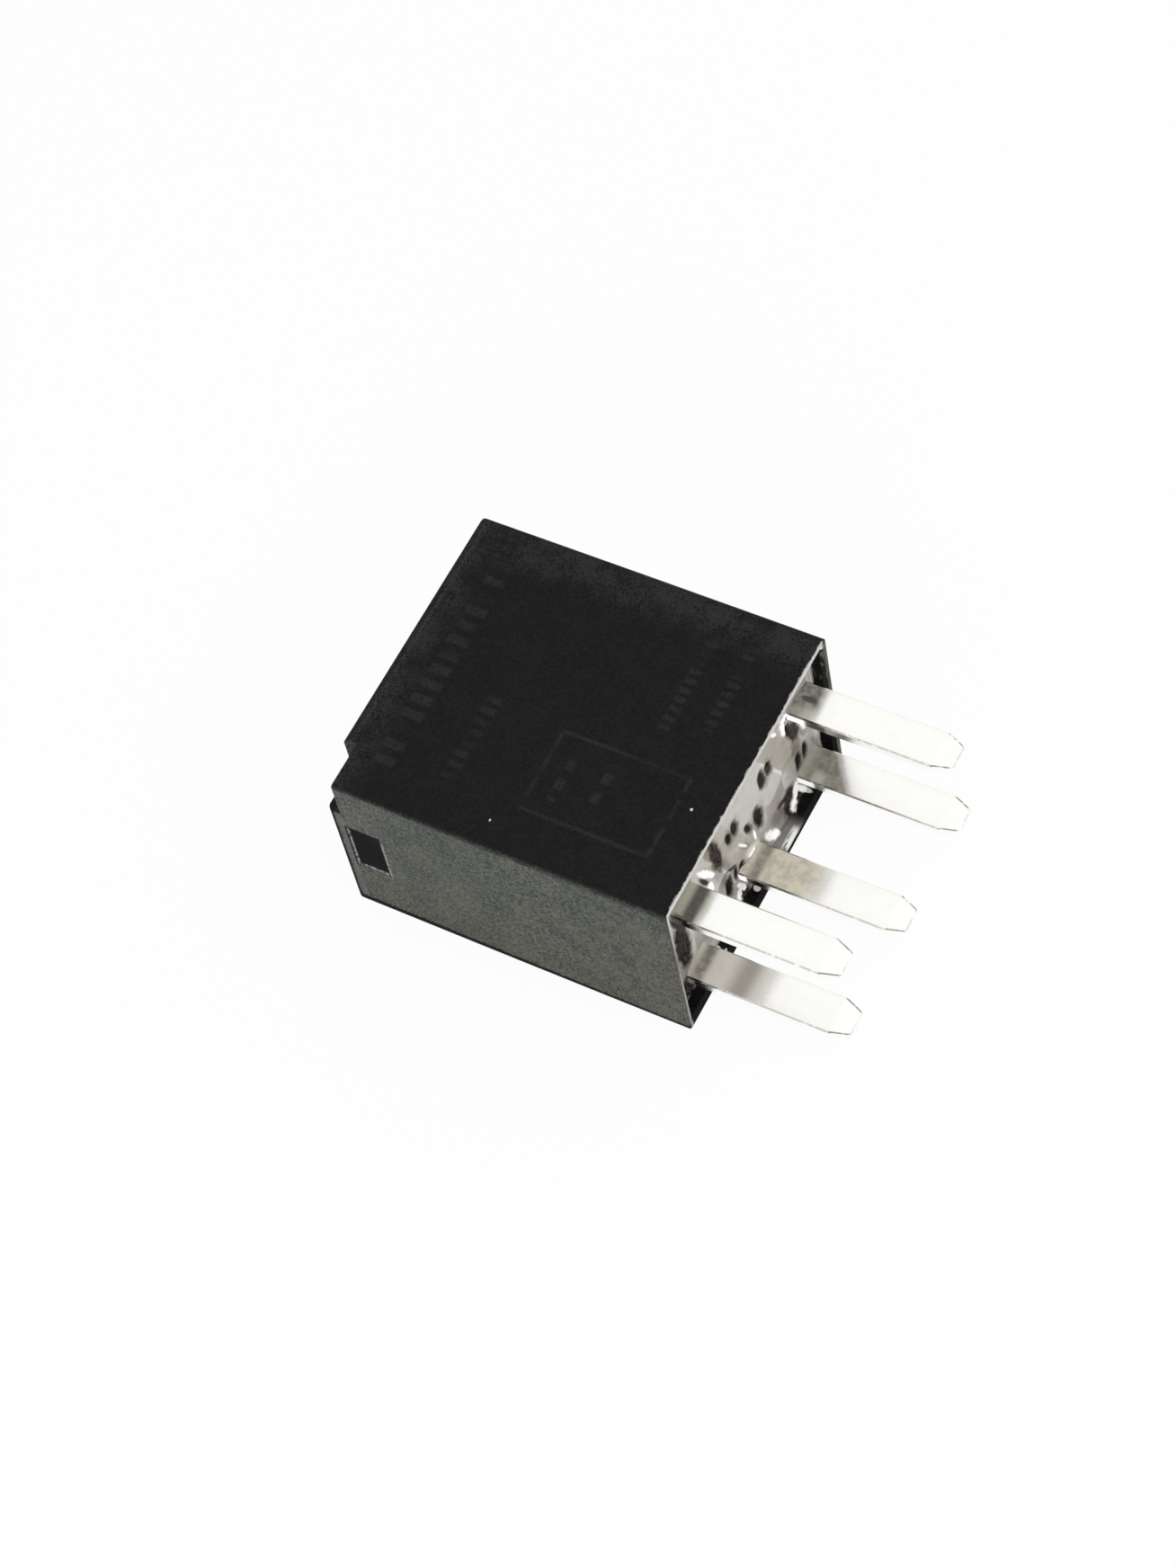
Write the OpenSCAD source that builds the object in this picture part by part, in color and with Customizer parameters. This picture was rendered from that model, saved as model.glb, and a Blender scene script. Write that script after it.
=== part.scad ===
// Five-blade plug-in relay, lying on one broad face with its blades towards +X.
// The origin is the middle of the face it rests on. All sizes are in millimetres.
// The armature is drawn at rest, held off the pole by the contact spring.

/* [Case] */
// Length of the moulded case, closed end to open rim
case_l = 25.3; // [24:0.1:30]
// Width of the broad faces, measured at the rim
case_w = 22.8; // [22:0.1:26]
// Thickness of the case, broad face to broad face
case_t = 14.8; // [14.2:0.1:18]
// Wall thickness
wall = 0.65; // [0.5:0.05:0.8]
// How far each narrow side leans in at the closed end
side_lean = 0.2; // [0:0.05:0.3]
// Rounding of the outer edges
edge_r = 0.5; // [0.2:0.05:0.6]
// Bevel along the inside of the rim
rim_bevel = 0.2; // [0.1:0.05:0.3]

/* [Key notch and grip pockets] */
// Depth of the corner notch, along the case
notch_l = 1.05; // [0.6:0.05:1.4]
// Width of the corner notch, across the case
notch_w = 3.45; // [2:0.05:4.5]
// Height of the corner notch, down from the upper face
notch_h = 3.5; // [2:0.1:5]
// Distance from the closed end to a grip pocket
pocket_from_end = 1.25; // [1.2:0.05:2]
// Length of a grip pocket, along the case
pocket_l = 2.15; // [1.4:0.05:2.6]
// Height of a grip pocket
pocket_h = 4.5; // [3:0.1:5]
// Height of a pocket's middle above the table
pocket_z = 7.4; // [7:0.05:8.2]
// Depth of a grip pocket
pocket_depth = 1.15; // [0.8:0.05:1.3]
// Thickness of the wall behind a grip pocket
pocket_floor = 0.55; // [0.4:0.05:0.7]
// Bevel around the mouth of a grip pocket
pocket_bevel = 0.12; // [0.05:0.01:0.2]

/* [Base and resin] */
// Depth of the resin below the rim
resin_depth = 1.4; // [1:0.1:2]
// Thickness of the sealing resin over the base
resin_t = 0.85; // [0.6:0.05:1.2]
// Height that the resin climbs at a wall
wall_climb = 0.55; // [0.3:0.05:0.8]
// Height that the resin climbs at a blade
blade_climb = 0.4; // [0.2:0.05:0.6]
// Thickness of the base plate
base_t = 2.0; // [1.7:0.1:2.6]
// Height of the seat that carries the magnet frame
seat_h = 1.0; // [0.9:0.1:1.6]
// Height of the barrier between the coil and contact sides
barrier_h = 2.2; // [1:0.1:3]

/* [Blades] */
// Width of a blade
blade_w = 2.8; // [2.4:0.1:3]
// Thickness of a blade and of the strip it is stamped from
strip_t = 0.8; // [0.6:0.05:0.9]
// Reach of the blades past the rim
blade_reach = 10.8; // [8:0.1:14]
// Distance from a side of the case to the middle of the outer blades
blade_inset = 3.2; // [2.9:0.05:3.3]
// Distance between the two rows of blades
row_pitch = 7.8; // [7:0.1:8.4]
// Length of the taper at a blade's tip
tip_l = 1.35; // [0.8:0.05:2]
// Width lost on each side at the tip
tip_in = 0.5; // [0.2:0.05:0.8]
// Thickness lost on each face at the tip
tip_thin = 0.22; // [0.1:0.02:0.26]
// Coined bevel along a blade's edges
coin = 0.1; // [0.05:0.01:0.15]

/* [Coil] */
// Diameter of the iron core
core_d = 4.6; // [3.6:0.1:5]
// Diameter of the pole face
pole_d = 8.0; // [6:0.1:9]
// Thickness of the pole face
pole_t = 0.8; // [0.5:0.05:1.2]
// Diameter of the core's riveted end
core_end_d = 3.8; // [3:0.1:4.2]
// Thickness of a bobbin flange
flange_t = 1.0; // [0.7:0.05:1.4]
// Wall of the bobbin's tube
bobbin_wall = 0.45; // [0.3:0.05:0.7]
// Free height between the bobbin and each broad wall
bobbin_gap = 1.25; // [0.8:0.05:1.6]
// Depth of the winding below the flange edge
winding_drop = 0.4; // [0.2:0.05:1]
// Pitch of the outer turns
turn_pitch = 0.5; // [0.4:0.05:1]
// Diameter of the winding wire's ends
wire_d = 0.24; // [0.16:0.02:0.3]
// Width of a coil post
post_w = 0.9; // [0.7:0.05:1]
// Length of a coil post past the base
post_l = 4.9; // [4.2:0.1:6]

/* [Magnet frame and armature] */
// Thickness of the yoke
yoke_t = 1.4; // [1.1:0.05:1.6]
// Width of an ear that keeps the armature in line
ear_w = 0.35; // [0.25:0.05:0.5]
// Height of an ear above the hinge edge
ear_h = 1.0; // [0.6:0.1:1.3]
// Thickness of the armature
armature_t = 1.3; // [1:0.05:1.6]
// Width of the armature over the pole
armature_w = 8.0; // [7:0.1:9]
// Air left between armature and pole when it is drawn in
air_gap = 0.05; // [0.03:0.01:0.1]
// Angle the armature opens at rest
open_angle = 3.5; // [2:0.1:4.5]

/* [Spring and contacts] */
// Thickness of the contact spring
spring_t = 0.2; // [0.1:0.02:0.26]
// Width of the contact spring
spring_w = 5.6; // [4:0.1:5.7]
// Width of the spring at the moving contact
spring_tip_w = 3.6; // [3.2:0.1:4.4]
// Radius of the spring's bend, to its middle
bend_r = 0.9; // [0.7:0.05:1.1]
// Length of the spring along the yoke
spring_leg = 7.6; // [6.5:0.1:8.5]
// Diameter of a contact head
contact_d = 2.6; // [2:0.1:3]
// Thickness of a contact head
contact_t = 0.55; // [0.4:0.05:0.7]
// Height of the dome on a contact head
contact_dome = 0.2; // [0.1:0.02:0.3]
// Diameter of a contact shank
shank_d = 1.4; // [1:0.1:1.6]
// Width of a contact carrier
carrier_w = 5.0; // [4:0.1:5.6]
// Width of the strip that runs along the coil
runner_w = 2.2; // [1.8:0.1:2.4]
// Distance between the two rivets of a pair
rivet_pitch = 2.8; // [2.4:0.1:3.2]
// Distance from the spring's end on the yoke to its rivets there
leg_rivet_from_end = 2.4; // [1.8:0.1:3]
// Distance from the hinge to the spring's rivets on the armature
armature_rivet_at = 4.4; // [3.8:0.1:5]
// Diameter of a rivet
rivet_d = 1.0; // [0.8:0.05:1.2]
// Diameter of a rivet head
rivet_head_d = 1.8; // [1.4:0.05:2]
// Thickness of a rivet head
rivet_head_t = 0.35; // [0.2:0.05:0.45]

/* [Resistor] */
// Diameter of the resistor body
resistor_d = 1.8; // [1.2:0.1:1.9]
// Length of the resistor body
resistor_l = 5.0; // [3.5:0.1:6]
// Diameter of the resistor leads
lead_d = 0.5; // [0.3:0.05:0.6]

/* [Hidden] */
$fn = 48;

// Clearances
fit = 0.08;        // between a piece and the one it drops into
snug = 0.02;       // between resin or metal and what holds it
touch = 0.03;      // between two contacts that press together
slack = 0.05;      // between the winding or a lug and what it lies in
room = 0.3;        // between moving pieces and their neighbours
live_gap = 0.5;    // between strips of different terminals, and from them to the case
lap = 0.1;         // how far two joined forms run into each other
cut = 1;           // how far a cutter runs past a face

// Corner radii
inner_r = 0.2;     // inside of the case, and the resin that fills it
seat_r = 0.4;      // base and its seat
plate_r = 1.0;     // bobbin flanges and the yoke's foot

// Case, along X
rim_x = case_l / 2;
end_x = -case_l / 2;
end_in_x = end_x + wall;
resin_x = rim_x - resin_depth;
base_x1 = resin_x - resin_t;
base_x0 = base_x1 - base_t;
tip_x = rim_x + blade_reach;
function half_w(x) = case_w / 2 - side_lean * (rim_x - x) / case_l;

// Pockets, as their inner walls take room beside the armature
pocket_x0 = end_x + pocket_from_end;
pocket_x1 = pocket_x0 + pocket_l;
pocket_y = half_w(end_x) - pocket_depth;
pocket_back_y = pocket_y - pocket_floor;

// Rows of blades
mid_z = case_t / 2;
low_z = mid_z - row_pitch / 2;
high_z = mid_z + row_pitch / 2;
side_y = case_w / 2 - blade_inset;
low_z0 = low_z - strip_t / 2;
low_z1 = low_z + strip_t / 2;
high_z0 = high_z - strip_t / 2;
high_z1 = high_z + strip_t / 2;
bend_in = 0.2;
bend_out = strip_t + bend_in;

// Strips lie in channels of the base and leave a thin web under them, or fold over its inner face
web_t = 0.3;
strip_x0 = base_x0 + lap;
strip_x1 = base_x1 - web_t;
foot_x1 = base_x0 - fit;

// Yoke and bobbin, across the case
yoke_y0 = -(pocket_back_y - room - spring_t);
yoke_y1 = yoke_y0 + yoke_t;
yoke_w = row_pitch - strip_t - 2 * lap;
yoke_z0 = mid_z - yoke_w / 2;
yoke_z1 = mid_z + yoke_w / 2;
core_lip = 0.5;
runner_y1 = side_y - blade_w / 2 - live_gap;
runner_y0 = runner_y1 - runner_w;
flange_y0 = yoke_y1 + fit;
flange_y1 = runner_y0 - live_gap;
flange_h = case_t - 2 * wall - 2 * bobbin_gap;
coil_y = (flange_y0 + flange_y1) / 2;
yoke_foot_y1 = coil_y + core_end_d;
winding_d = min(flange_y1 - flange_y0, flange_h) - 2 * winding_drop;
tube_d = core_d + 2 * fit + 2 * bobbin_wall;
near_post_y = -side_y;
far_post_y = flange_y1 + post_w / 2 + live_gap;

// Contacts, across the case
carrier_edge = 0.7;
carrier_y1 = pocket_back_y - live_gap;
contact_y = carrier_y1 - contact_d / 2 - carrier_edge;
leg_y1 = half_w(end_x) - wall - live_gap;
leg_y0 = leg_y1 - strip_t;

// Magnet system along X: the closed contact is set from the end wall, and the rest follows
plate_back = 0.55;
closed_plate_x0 = end_in_x + plate_back;
closed_plate_x1 = closed_plate_x0 + strip_t;
closed_face_x = closed_plate_x1 + contact_t;
stack = air_gap + armature_t + spring_t + contact_t;
pole_x = closed_face_x + touch + stack * cos(open_angle)
    + (contact_y - yoke_y0) * sin(open_angle);
armature_x1 = pole_x - air_gap;
armature_x0 = armature_x1 - armature_t;
spring_x0 = armature_x0 - spring_t;
open_face_x = armature_x0 + contact_t + touch;
open_plate_x0 = open_face_x + contact_t;
yoke_x1 = base_x0 - seat_h;
yoke_x0 = yoke_x1 - yoke_t;
flange_a_x = pole_x + pole_t;
flange_b_x = yoke_x0 - flange_t;
winding_x0 = flange_a_x + flange_t + slack;
winding_x1 = flange_b_x - slack;
armature_y1 = flange_y1;
carrier_z0 = mid_z - carrier_w / 2;
carrier_z1 = mid_z + carrier_w / 2;

// Spring bend: one arc that touches both the yoke's face and the raised armature
spring_mid_y = yoke_y0 - spring_t / 2;
raised_x = pole_x - (pole_x - spring_x0 - spring_t / 2) * cos(open_angle);
raised_y = yoke_y0 - (pole_x - spring_x0 - spring_t / 2) * sin(open_angle);
bend_y = spring_mid_y + bend_r;
bend_x = raised_x + (bend_r - (bend_y - raised_y) * sin(open_angle)) / cos(open_angle);
bend_y_end = bend_y - bend_r * sin(open_angle);
bend_x_end = bend_x - bend_r * cos(open_angle);
spring_tip_y = contact_y + contact_d / 2 + lap;
spring_end_x = pole_x + spring_leg;
spring_rivet_x = spring_end_x - leg_rivet_from_end;
armature_rivet_y = yoke_y0 + armature_rivet_at;
rivet_zs = [mid_z - rivet_pitch / 2, mid_z + rivet_pitch / 2];

// Tab of the common terminal on the yoke's outer face, with its rivet in the tab's middle
tab_l = 3.0;
tab_w = 3.6;
common_y0 = yoke_y0 - strip_t;
common_x0 = yoke_x0 - tab_l;
common_z0 = low_z0 + bend_out;
common_z1 = common_z0 + tab_w;
terminal_rivet_x = common_x0 + rivet_head_d / 2 + room;
terminal_rivet_z = common_z0 + tab_w / 2;

// Resistor between the yoke's foot and the broad wall
resistor_x = base_x0 - resistor_d / 2 - room;
resistor_y = coil_y;
resistor_z = (yoke_z1 + case_t - wall) / 2;

// Post ends and the turns on them
turns = 3;
post_x0 = base_x0 - post_l;
turn_x = post_x0 + turns * wire_d + fit;
turn_r = norm([post_w, strip_t]) / 2 + wire_d / 2 + snug;

// Extrusions along the three axes
module along_x(x0, x1) {
    translate([x0, 0, 0]) rotate([90, 0, 90]) linear_extrude(x1 - x0) children();
}
module along_y(y0, y1) {
    translate([0, y1, 0]) rotate([90, 0, 0]) linear_extrude(y1 - y0) children();
}
module along_z(z0, z1) {
    translate([0, 0, z0]) linear_extrude(z1 - z0) children();
}
module block(x, y, z) {
    translate([x[0], y[0], z[0]]) cube([x[1] - x[0], y[1] - y[0], z[1] - z[0]]);
}
module rod(from, to, r) {
    span = to - from;
    translate(from) rotate([0, acos(span[2] / norm(span)), atan2(span[1], span[0])])
        cylinder(h = norm(span), r = r);
}

// Rectangle from two corners, with rounded corners
module rounded(a, b, r) {
    translate([a[0] + r, a[1]]) square([b[0] - a[0] - 2 * r, b[1] - a[1]]);
    translate([a[0], a[1] + r]) square([b[0] - a[0], b[1] - a[1] - 2 * r]);
    for (x = [a[0] + r, b[0] - r], y = [a[1] + r, b[1] - r]) translate([x, y]) circle(r);
}

// L-shaped fold of sheet metal, its outer corner at the origin
module fold(a, b) {
    translate([bend_out, 0]) square([a - bend_out, strip_t]);
    translate([0, bend_out]) square([strip_t, b - bend_out]);
    intersection() {
        square(bend_out);
        translate([bend_out, bend_out]) difference() {
            circle(bend_out);
            circle(bend_in);
        }
    }
}

// Outline of the case from above, drawn in by an inset and rounded at the closed end
module drafted_outline(inset, r, x1) {
    x0 = end_x + inset;
    y0 = half_w(end_x) - inset;
    y1 = half_w(x1) - inset;
    polygon([[x0 + r, -y0], [x1, -y1], [x1, y1], [x0 + r, y0], [x0, y0 - r], [x0, -y0 + r]]);
    for (s = [-1, 1]) translate([x0 + r, s * (y0 - r)]) circle(r);
}
module shell_body(inset, r, x1) {
    intersection() {
        along_z(inset, case_t - inset) drafted_outline(inset, r, x1);
        along_x(end_x, x1)
            rounded([-case_w / 2 + inset, inset], [case_w / 2 - inset, case_t - inset], r);
        along_y(-case_w, case_w)
            rounded([end_x + inset, inset], [x1 + 2 * r, case_t - inset], r);
    }
}

// Bevel inside the rim: two wedges that open outwards, crossed
function lead_in(low, high) = [[rim_x - rim_bevel, low], [rim_x + cut, low - rim_bevel - cut],
    [rim_x + cut, high + rim_bevel + cut], [rim_x - rim_bevel, high]];
module rim_lead_in() {
    y = half_w(rim_x) - wall;
    intersection() {
        along_z(-cut, case_t + cut) polygon(lead_in(-y, y));
        along_y(-case_w, case_w) polygon(lead_in(wall, case_t - wall));
    }
}

// Space of a grip pocket, or with its inner walls where a wall is given
module pocket_block(x0, y0, grow) {
    block([x0, pocket_x1 + grow], [y0, case_w],
        [pocket_z - pocket_h / 2 - grow, pocket_z + pocket_h / 2 + grow]);
}
// Bevel around a pocket's mouth: two wedges that open outwards, crossed
module pocket_lead_in() {
    y0 = half_w(pocket_x1) - pocket_bevel;
    y1 = case_w / 2 + cut;
    spread = y1 - y0;
    z0 = pocket_z - pocket_h / 2;
    z1 = pocket_z + pocket_h / 2;
    intersection() {
        along_z(z0 - spread, z1 + spread) polygon([[pocket_x0, y0], [pocket_x1, y0],
            [pocket_x1 + spread, y1], [pocket_x0 - spread, y1]]);
        along_x(pocket_x0 - spread, pocket_x1 + spread) polygon([[y0, z0], [y1, z0 - spread],
            [y1, z1 + spread], [y0, z1]]);
    }
}
// Space of the corner notch, or with its inner walls
module notch_block(x0, grow, above) {
    block([x0, end_x + notch_l + grow], [-case_w, -half_w(end_x) + notch_w + grow],
        [case_t - notch_h - grow, case_t + above]);
}
module case() {
    color([0.13, 0.13, 0.13]) difference() {
        union() {
            difference() {
                shell_body(0, edge_r, rim_x);
                shell_body(wall, inner_r, rim_x + cut);
                rim_lead_in();
            }
            // Inner walls of the pockets and of the notch
            intersection() {
                shell_body(0, edge_r, rim_x);
                union() {
                    for (s = [-1, 1]) scale([1, s, 1])
                        pocket_block(end_x, pocket_back_y, pocket_floor);
                    notch_block(end_x, wall, 0);
                }
            }
        }
        for (s = [-1, 1]) scale([1, s, 1]) {
            pocket_block(pocket_x0, pocket_y, 0);
            pocket_lead_in();
        }
        notch_block(end_x - cut, 0, cut);
    }
}

// Where each blade stands: across the case, and above the table
blades = [[side_y, high_z], [side_y, low_z], [0, low_z], [-side_y, low_z], [-side_y, high_z]];
module blade_holes(gap, x0, x1) {
    for (b = blades) block([x0, x1], [b[0] - blade_w / 2 - gap, b[0] + blade_w / 2 + gap],
        [b[1] - strip_t / 2 - gap, b[1] + strip_t / 2 + gap]);
}

module base() {
    y1 = half_w(base_x0) - wall - fit;
    z0 = wall + fit;
    z1 = case_t - wall - fit;
    barrier_t = 0.8;
    gutter_depth = 0.5;
    gutter_w = 0.4;
    gutter_end = 1.6;
    color([0.2, 0.17, 0.14]) difference() {
        union() {
            along_x(base_x0, base_x1) rounded([-y1, z0], [y1, z1], seat_r);
            // Seat under the yoke's foot
            along_x(yoke_x1, base_x0 + snug)
                rounded([yoke_y1, yoke_z0], [yoke_foot_y1, yoke_z1], seat_r);
            // Barrier between the coil post and the contact strips
            block([base_x0 - barrier_h, base_x0 + snug],
                [far_post_y - post_w / 2, leg_y0 - room],
                [high_z0 - room - barrier_t, high_z0 - room]);
        }
        // Gutters along the broad walls that the resin locks into
        for (s = [0, 1]) translate([0, 0, s * (z0 + z1)]) scale([1, 1, 1 - 2 * s])
            block([base_x1 - gutter_depth, base_x1 + cut], [gutter_end - y1, y1 - gutter_end],
                [z0 - cut, z0 + gutter_w]);
        // Bore in the seat for the core's riveted end
        along_x(yoke_x1 - cut, base_x0 - snug)
            translate([coil_y, mid_z]) circle(core_end_d / 2 + core_lip + room);
        blade_holes(snug, base_x0 - cut, base_x1 + cut);
        // Channels for the two strips that cross the base, and the fold of the common terminal
        block([base_x0 - cut, strip_x1 + snug], [-blade_w / 2 - snug, runner_y1 + snug],
            [low_z0 - snug, low_z1 + snug]);
        block([base_x0 - cut, strip_x1 + snug],
            [far_post_y - post_w / 2 - snug, side_y + blade_w / 2 + snug],
            [high_z0 - snug, high_z1 + snug]);
    }
}

// Resin drawn up against a blade, as a collar with a hollow flank
module climb_profile(w, m) {
    difference() {
        translate([0, -w / 2 - m]) square([m, w + 2 * m]);
        for (s = [-1, 1]) translate([m, s * (w / 2 + m)]) circle(m);
    }
}
module blade_collar() {
    intersection() {
        along_z(-strip_t / 2 - blade_climb, strip_t / 2 + blade_climb)
            climb_profile(blade_w, blade_climb);
        along_y(-blade_w / 2 - blade_climb, blade_w / 2 + blade_climb)
            climb_profile(strip_t, blade_climb);
    }
}
// Resin drawn up against a wall, seen end on
module wall_meniscus(y, m) {
    difference() {
        translate([resin_x - snug, y - m]) square([m + snug, m]);
        translate([resin_x + m, y - m]) circle(m);
    }
}
module sealing_resin() {
    m = wall_climb;
    y1 = half_w(resin_x) - wall - snug;
    z0 = wall + snug;
    z1 = case_t - wall - snug;
    color([0.62, 0.61, 0.58]) difference() {
        intersection() {
            along_x(base_x1, rim_x) rounded([-y1, z0], [y1, z1], inner_r);
            union() {
                block([base_x1, resin_x], [-y1, y1], [z0, z1]);
                for (s = [-1, 1]) scale([1, s, 1]) along_z(z0, z1) wall_meniscus(y1, m);
                for (s = [-1, 1]) translate([0, 0, mid_z]) scale([1, 1, s])
                    along_y(-y1, y1) wall_meniscus(z1 - mid_z, m);
                for (b = blades) translate([resin_x, b[0], b[1]]) blade_collar();
            }
        }
        blade_holes(snug, base_x1 - cut, rim_x + cut);
    }
}

// A blade with a tapered tip, softened corners and coined edges, from its root to its tip
module blade(root_x) {
    half = blade_w / 2;
    thick = strip_t / 2;
    soft = 0.16;
    soft_y = half - tip_in * (1 - soft / tip_l);
    intersection() {
        along_z(-strip_t, strip_t) polygon([
            [root_x, -half], [tip_x - tip_l, -half], [tip_x - soft, -soft_y],
            [tip_x, soft - soft_y], [tip_x, soft_y - soft],
            [tip_x - soft, soft_y], [tip_x - tip_l, half], [root_x, half]]);
        along_y(-blade_w, blade_w) polygon([
            [root_x, -thick], [tip_x - tip_l, -thick], [tip_x, -thick + tip_thin],
            [tip_x, thick - tip_thin], [tip_x - tip_l, thick], [root_x, thick]]);
        along_x(root_x, tip_x) polygon([
            [-half + coin, -thick], [half - coin, -thick], [half, -thick + coin],
            [half, thick - coin], [half - coin, thick], [-half + coin, thick],
            [-half, thick - coin], [-half, -thick + coin]]);
    }
}

// Blade, a foot folded along the base, and a tab riveted to the yoke
module common_terminal() {
    inner_y = -side_y + blade_w / 2;
    color([0.82, 0.82, 0.8]) difference() {
        union() {
            translate([0, -side_y, low_z]) blade(foot_x1 - lap);
            along_x(yoke_x1 + fit, foot_x1) translate([common_y0, low_z0])
                fold(inner_y - common_y0, common_z1 - low_z0);
            block([common_x0, foot_x1], [common_y0, yoke_y0], [common_z0, common_z1]);
        }
        translate([terminal_rivet_x, yoke_y0, terminal_rivet_z]) rotate([90, 0, 0])
            cylinder(h = 4 * strip_t, d = rivet_d + 2 * snug, center = true);
    }
}

// Blade, a step sideways in the base, a runner beside the coil, and a carrier plate folded up
module closed_contact_terminal() {
    slant = 0.6;
    color([0.82, 0.82, 0.8]) difference() {
        union() {
            translate([0, 0, low_z]) blade(strip_x0);
            block([strip_x0, strip_x1], [-blade_w / 2, runner_y1], [low_z0, low_z1]);
            block([closed_plate_x0 + bend_out, strip_x1], [runner_y0, runner_y1],
                [low_z0, low_z1]);
            along_y(runner_y0, runner_y1) translate([closed_plate_x0, low_z0])
                fold(2 * bend_out, carrier_z1 - low_z0);
            along_x(closed_plate_x0, closed_plate_x1) polygon([
                [runner_y0, carrier_z0], [runner_y1, carrier_z0 - slant],
                [carrier_y1, carrier_z0 + slant], [carrier_y1, carrier_z1 - slant],
                [carrier_y1 - slant, carrier_z1], [runner_y0, carrier_z1]]);
        }
        translate([closed_plate_x0, contact_y, mid_z]) rotate([0, 90, 0])
            cylinder(h = 4 * strip_t, d = shank_d + 2 * snug, center = true);
    }
}

// Blade, a foot folded up into a leg along the case, and a carrier plate folded inwards
module open_contact_terminal() {
    inner_y = side_y - blade_w / 2;
    foot_l = 2.8;
    leg_w = 1.6;
    shoulder_l = 2.4;
    slope_l = 2.0;
    foot_x0 = foot_x1 - foot_l;
    leg_z1 = carrier_z0 + leg_w;
    shoulder_x = open_plate_x0 + shoulder_l;
    plate_y0 = contact_y - contact_d / 2 - carrier_edge;
    color([0.82, 0.82, 0.8]) difference() {
        union() {
            translate([0, side_y, low_z]) blade(foot_x1 - lap);
            along_x(foot_x0, foot_x1) translate([leg_y1, low_z0]) scale([-1, 1])
                fold(leg_y1 - inner_y, leg_z1 - low_z0);
            along_y(leg_y0, leg_y1) polygon([
                [foot_x1, low_z0 + bend_out], [foot_x1, leg_z1],
                [shoulder_x + slope_l, leg_z1], [shoulder_x, carrier_z1],
                [open_plate_x0 + bend_out, carrier_z1], [open_plate_x0 + bend_out, carrier_z0],
                [foot_x0, low_z0 + bend_out]]);
            along_z(carrier_z0, carrier_z1) translate([open_plate_x0, leg_y1]) scale([1, -1])
                fold(2 * bend_out, leg_y1 - plate_y0);
        }
        translate([open_plate_x0, contact_y, mid_z]) rotate([0, 90, 0])
            cylinder(h = 4 * strip_t, d = shank_d + 2 * snug, center = true);
    }
}

module coil_post(y) {
    block([post_x0, strip_x0 + snug], [y - post_w / 2, y + post_w / 2], [high_z0, high_z1]);
}
module coil_terminal_near() {
    color([0.82, 0.82, 0.8]) {
        translate([0, -side_y, high_z]) blade(strip_x0);
        coil_post(near_post_y);
    }
}
module coil_terminal_far() {
    color([0.82, 0.82, 0.8]) {
        translate([0, side_y, high_z]) blade(strip_x0);
        block([strip_x0, strip_x1], [far_post_y - post_w / 2, side_y + blade_w / 2],
            [high_z0, high_z1]);
        coil_post(far_post_y);
    }
}

// Square spool with a lug around each coil post
module bobbin() {
    z0 = mid_z - flange_h / 2;
    z1 = mid_z + flange_h / 2;
    lug_wall = 0.3;
    lug_y = post_w / 2 + slack + lug_wall;
    color([0.85, 0.83, 0.76]) difference() {
        union() {
            for (x = [flange_a_x, flange_b_x]) along_x(x, x + flange_t)
                rounded([flange_y0, z0], [flange_y1, z1], plate_r);
            block([flange_b_x, yoke_x0], [flange_y1 - plate_r - lap, far_post_y + lug_y],
                [high_z0 - slack - lug_wall, z1]);
            block([flange_b_x, yoke_x0], [near_post_y - lug_y, flange_y0 + plate_r + lap],
                [yoke_z1 + slack, z1]);
            translate([flange_a_x, coil_y, mid_z]) rotate([0, 90, 0])
                cylinder(h = yoke_x0 - flange_a_x, d = tube_d);
        }
        translate([flange_a_x - cut, coil_y, mid_z]) rotate([0, 90, 0])
            cylinder(h = case_l, d = core_d + 2 * fit);
        for (y = [near_post_y, far_post_y]) post_hole(y, high_z0 - slack);
        post_hole(near_post_y, yoke_z1 - cut);
    }
}
module post_hole(y, z) {
    block([flange_b_x - cut, yoke_x0 + cut], [y - post_w / 2 - slack, y + post_w / 2 + slack],
        [z, high_z1 + slack]);
}

// Winding with its outer turns as ridges
module coil_winding() {
    count = floor((winding_x1 - winding_x0) / turn_pitch);
    first = (winding_x1 - winding_x0 - (count - 1) * turn_pitch) / 2;
    depth = winding_d / 2 - turn_pitch / 2;
    color([0.66, 0.32, 0.14]) translate([winding_x0, coil_y, mid_z]) rotate([0, 90, 0])
        rotate_extrude() {
            translate([tube_d / 2 + snug, 0])
                square([depth - tube_d / 2 - snug, winding_x1 - winding_x0]);
            for (i = [0 : count - 1]) translate([depth, first + i * turn_pitch])
                intersection() {
                    circle(turn_pitch / 2);
                    translate([-turn_pitch / 4, -turn_pitch / 2]) square(turn_pitch);
                }
        }
}

// Wire end: from the winding to a post, and a few turns pressed together around it
module coil_wire(post_y, start_y) {
    start_z = mid_z + sqrt(pow(winding_d / 2 + wire_d / 2 + snug, 2) - pow(start_y - coil_y, 2));
    press = 0.9;
    color([0.72, 0.36, 0.16]) {
        rod([turn_x, start_y, start_z], [turn_x, post_y, high_z + turn_r], press * wire_d / 2);
        translate([turn_x, post_y, high_z]) rotate([0, -90, 0]) rotate_extrude()
            for (i = [0 : turns - 1]) translate([turn_r, i * wire_d * press])
                circle(wire_d / 2, $fn = 24);
    }
}
module coil_wire_near() {
    coil_wire(near_post_y, coil_y - winding_d / 4);
}
module coil_wire_far() {
    coil_wire(far_post_y, coil_y + winding_d / 4);
}

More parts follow.
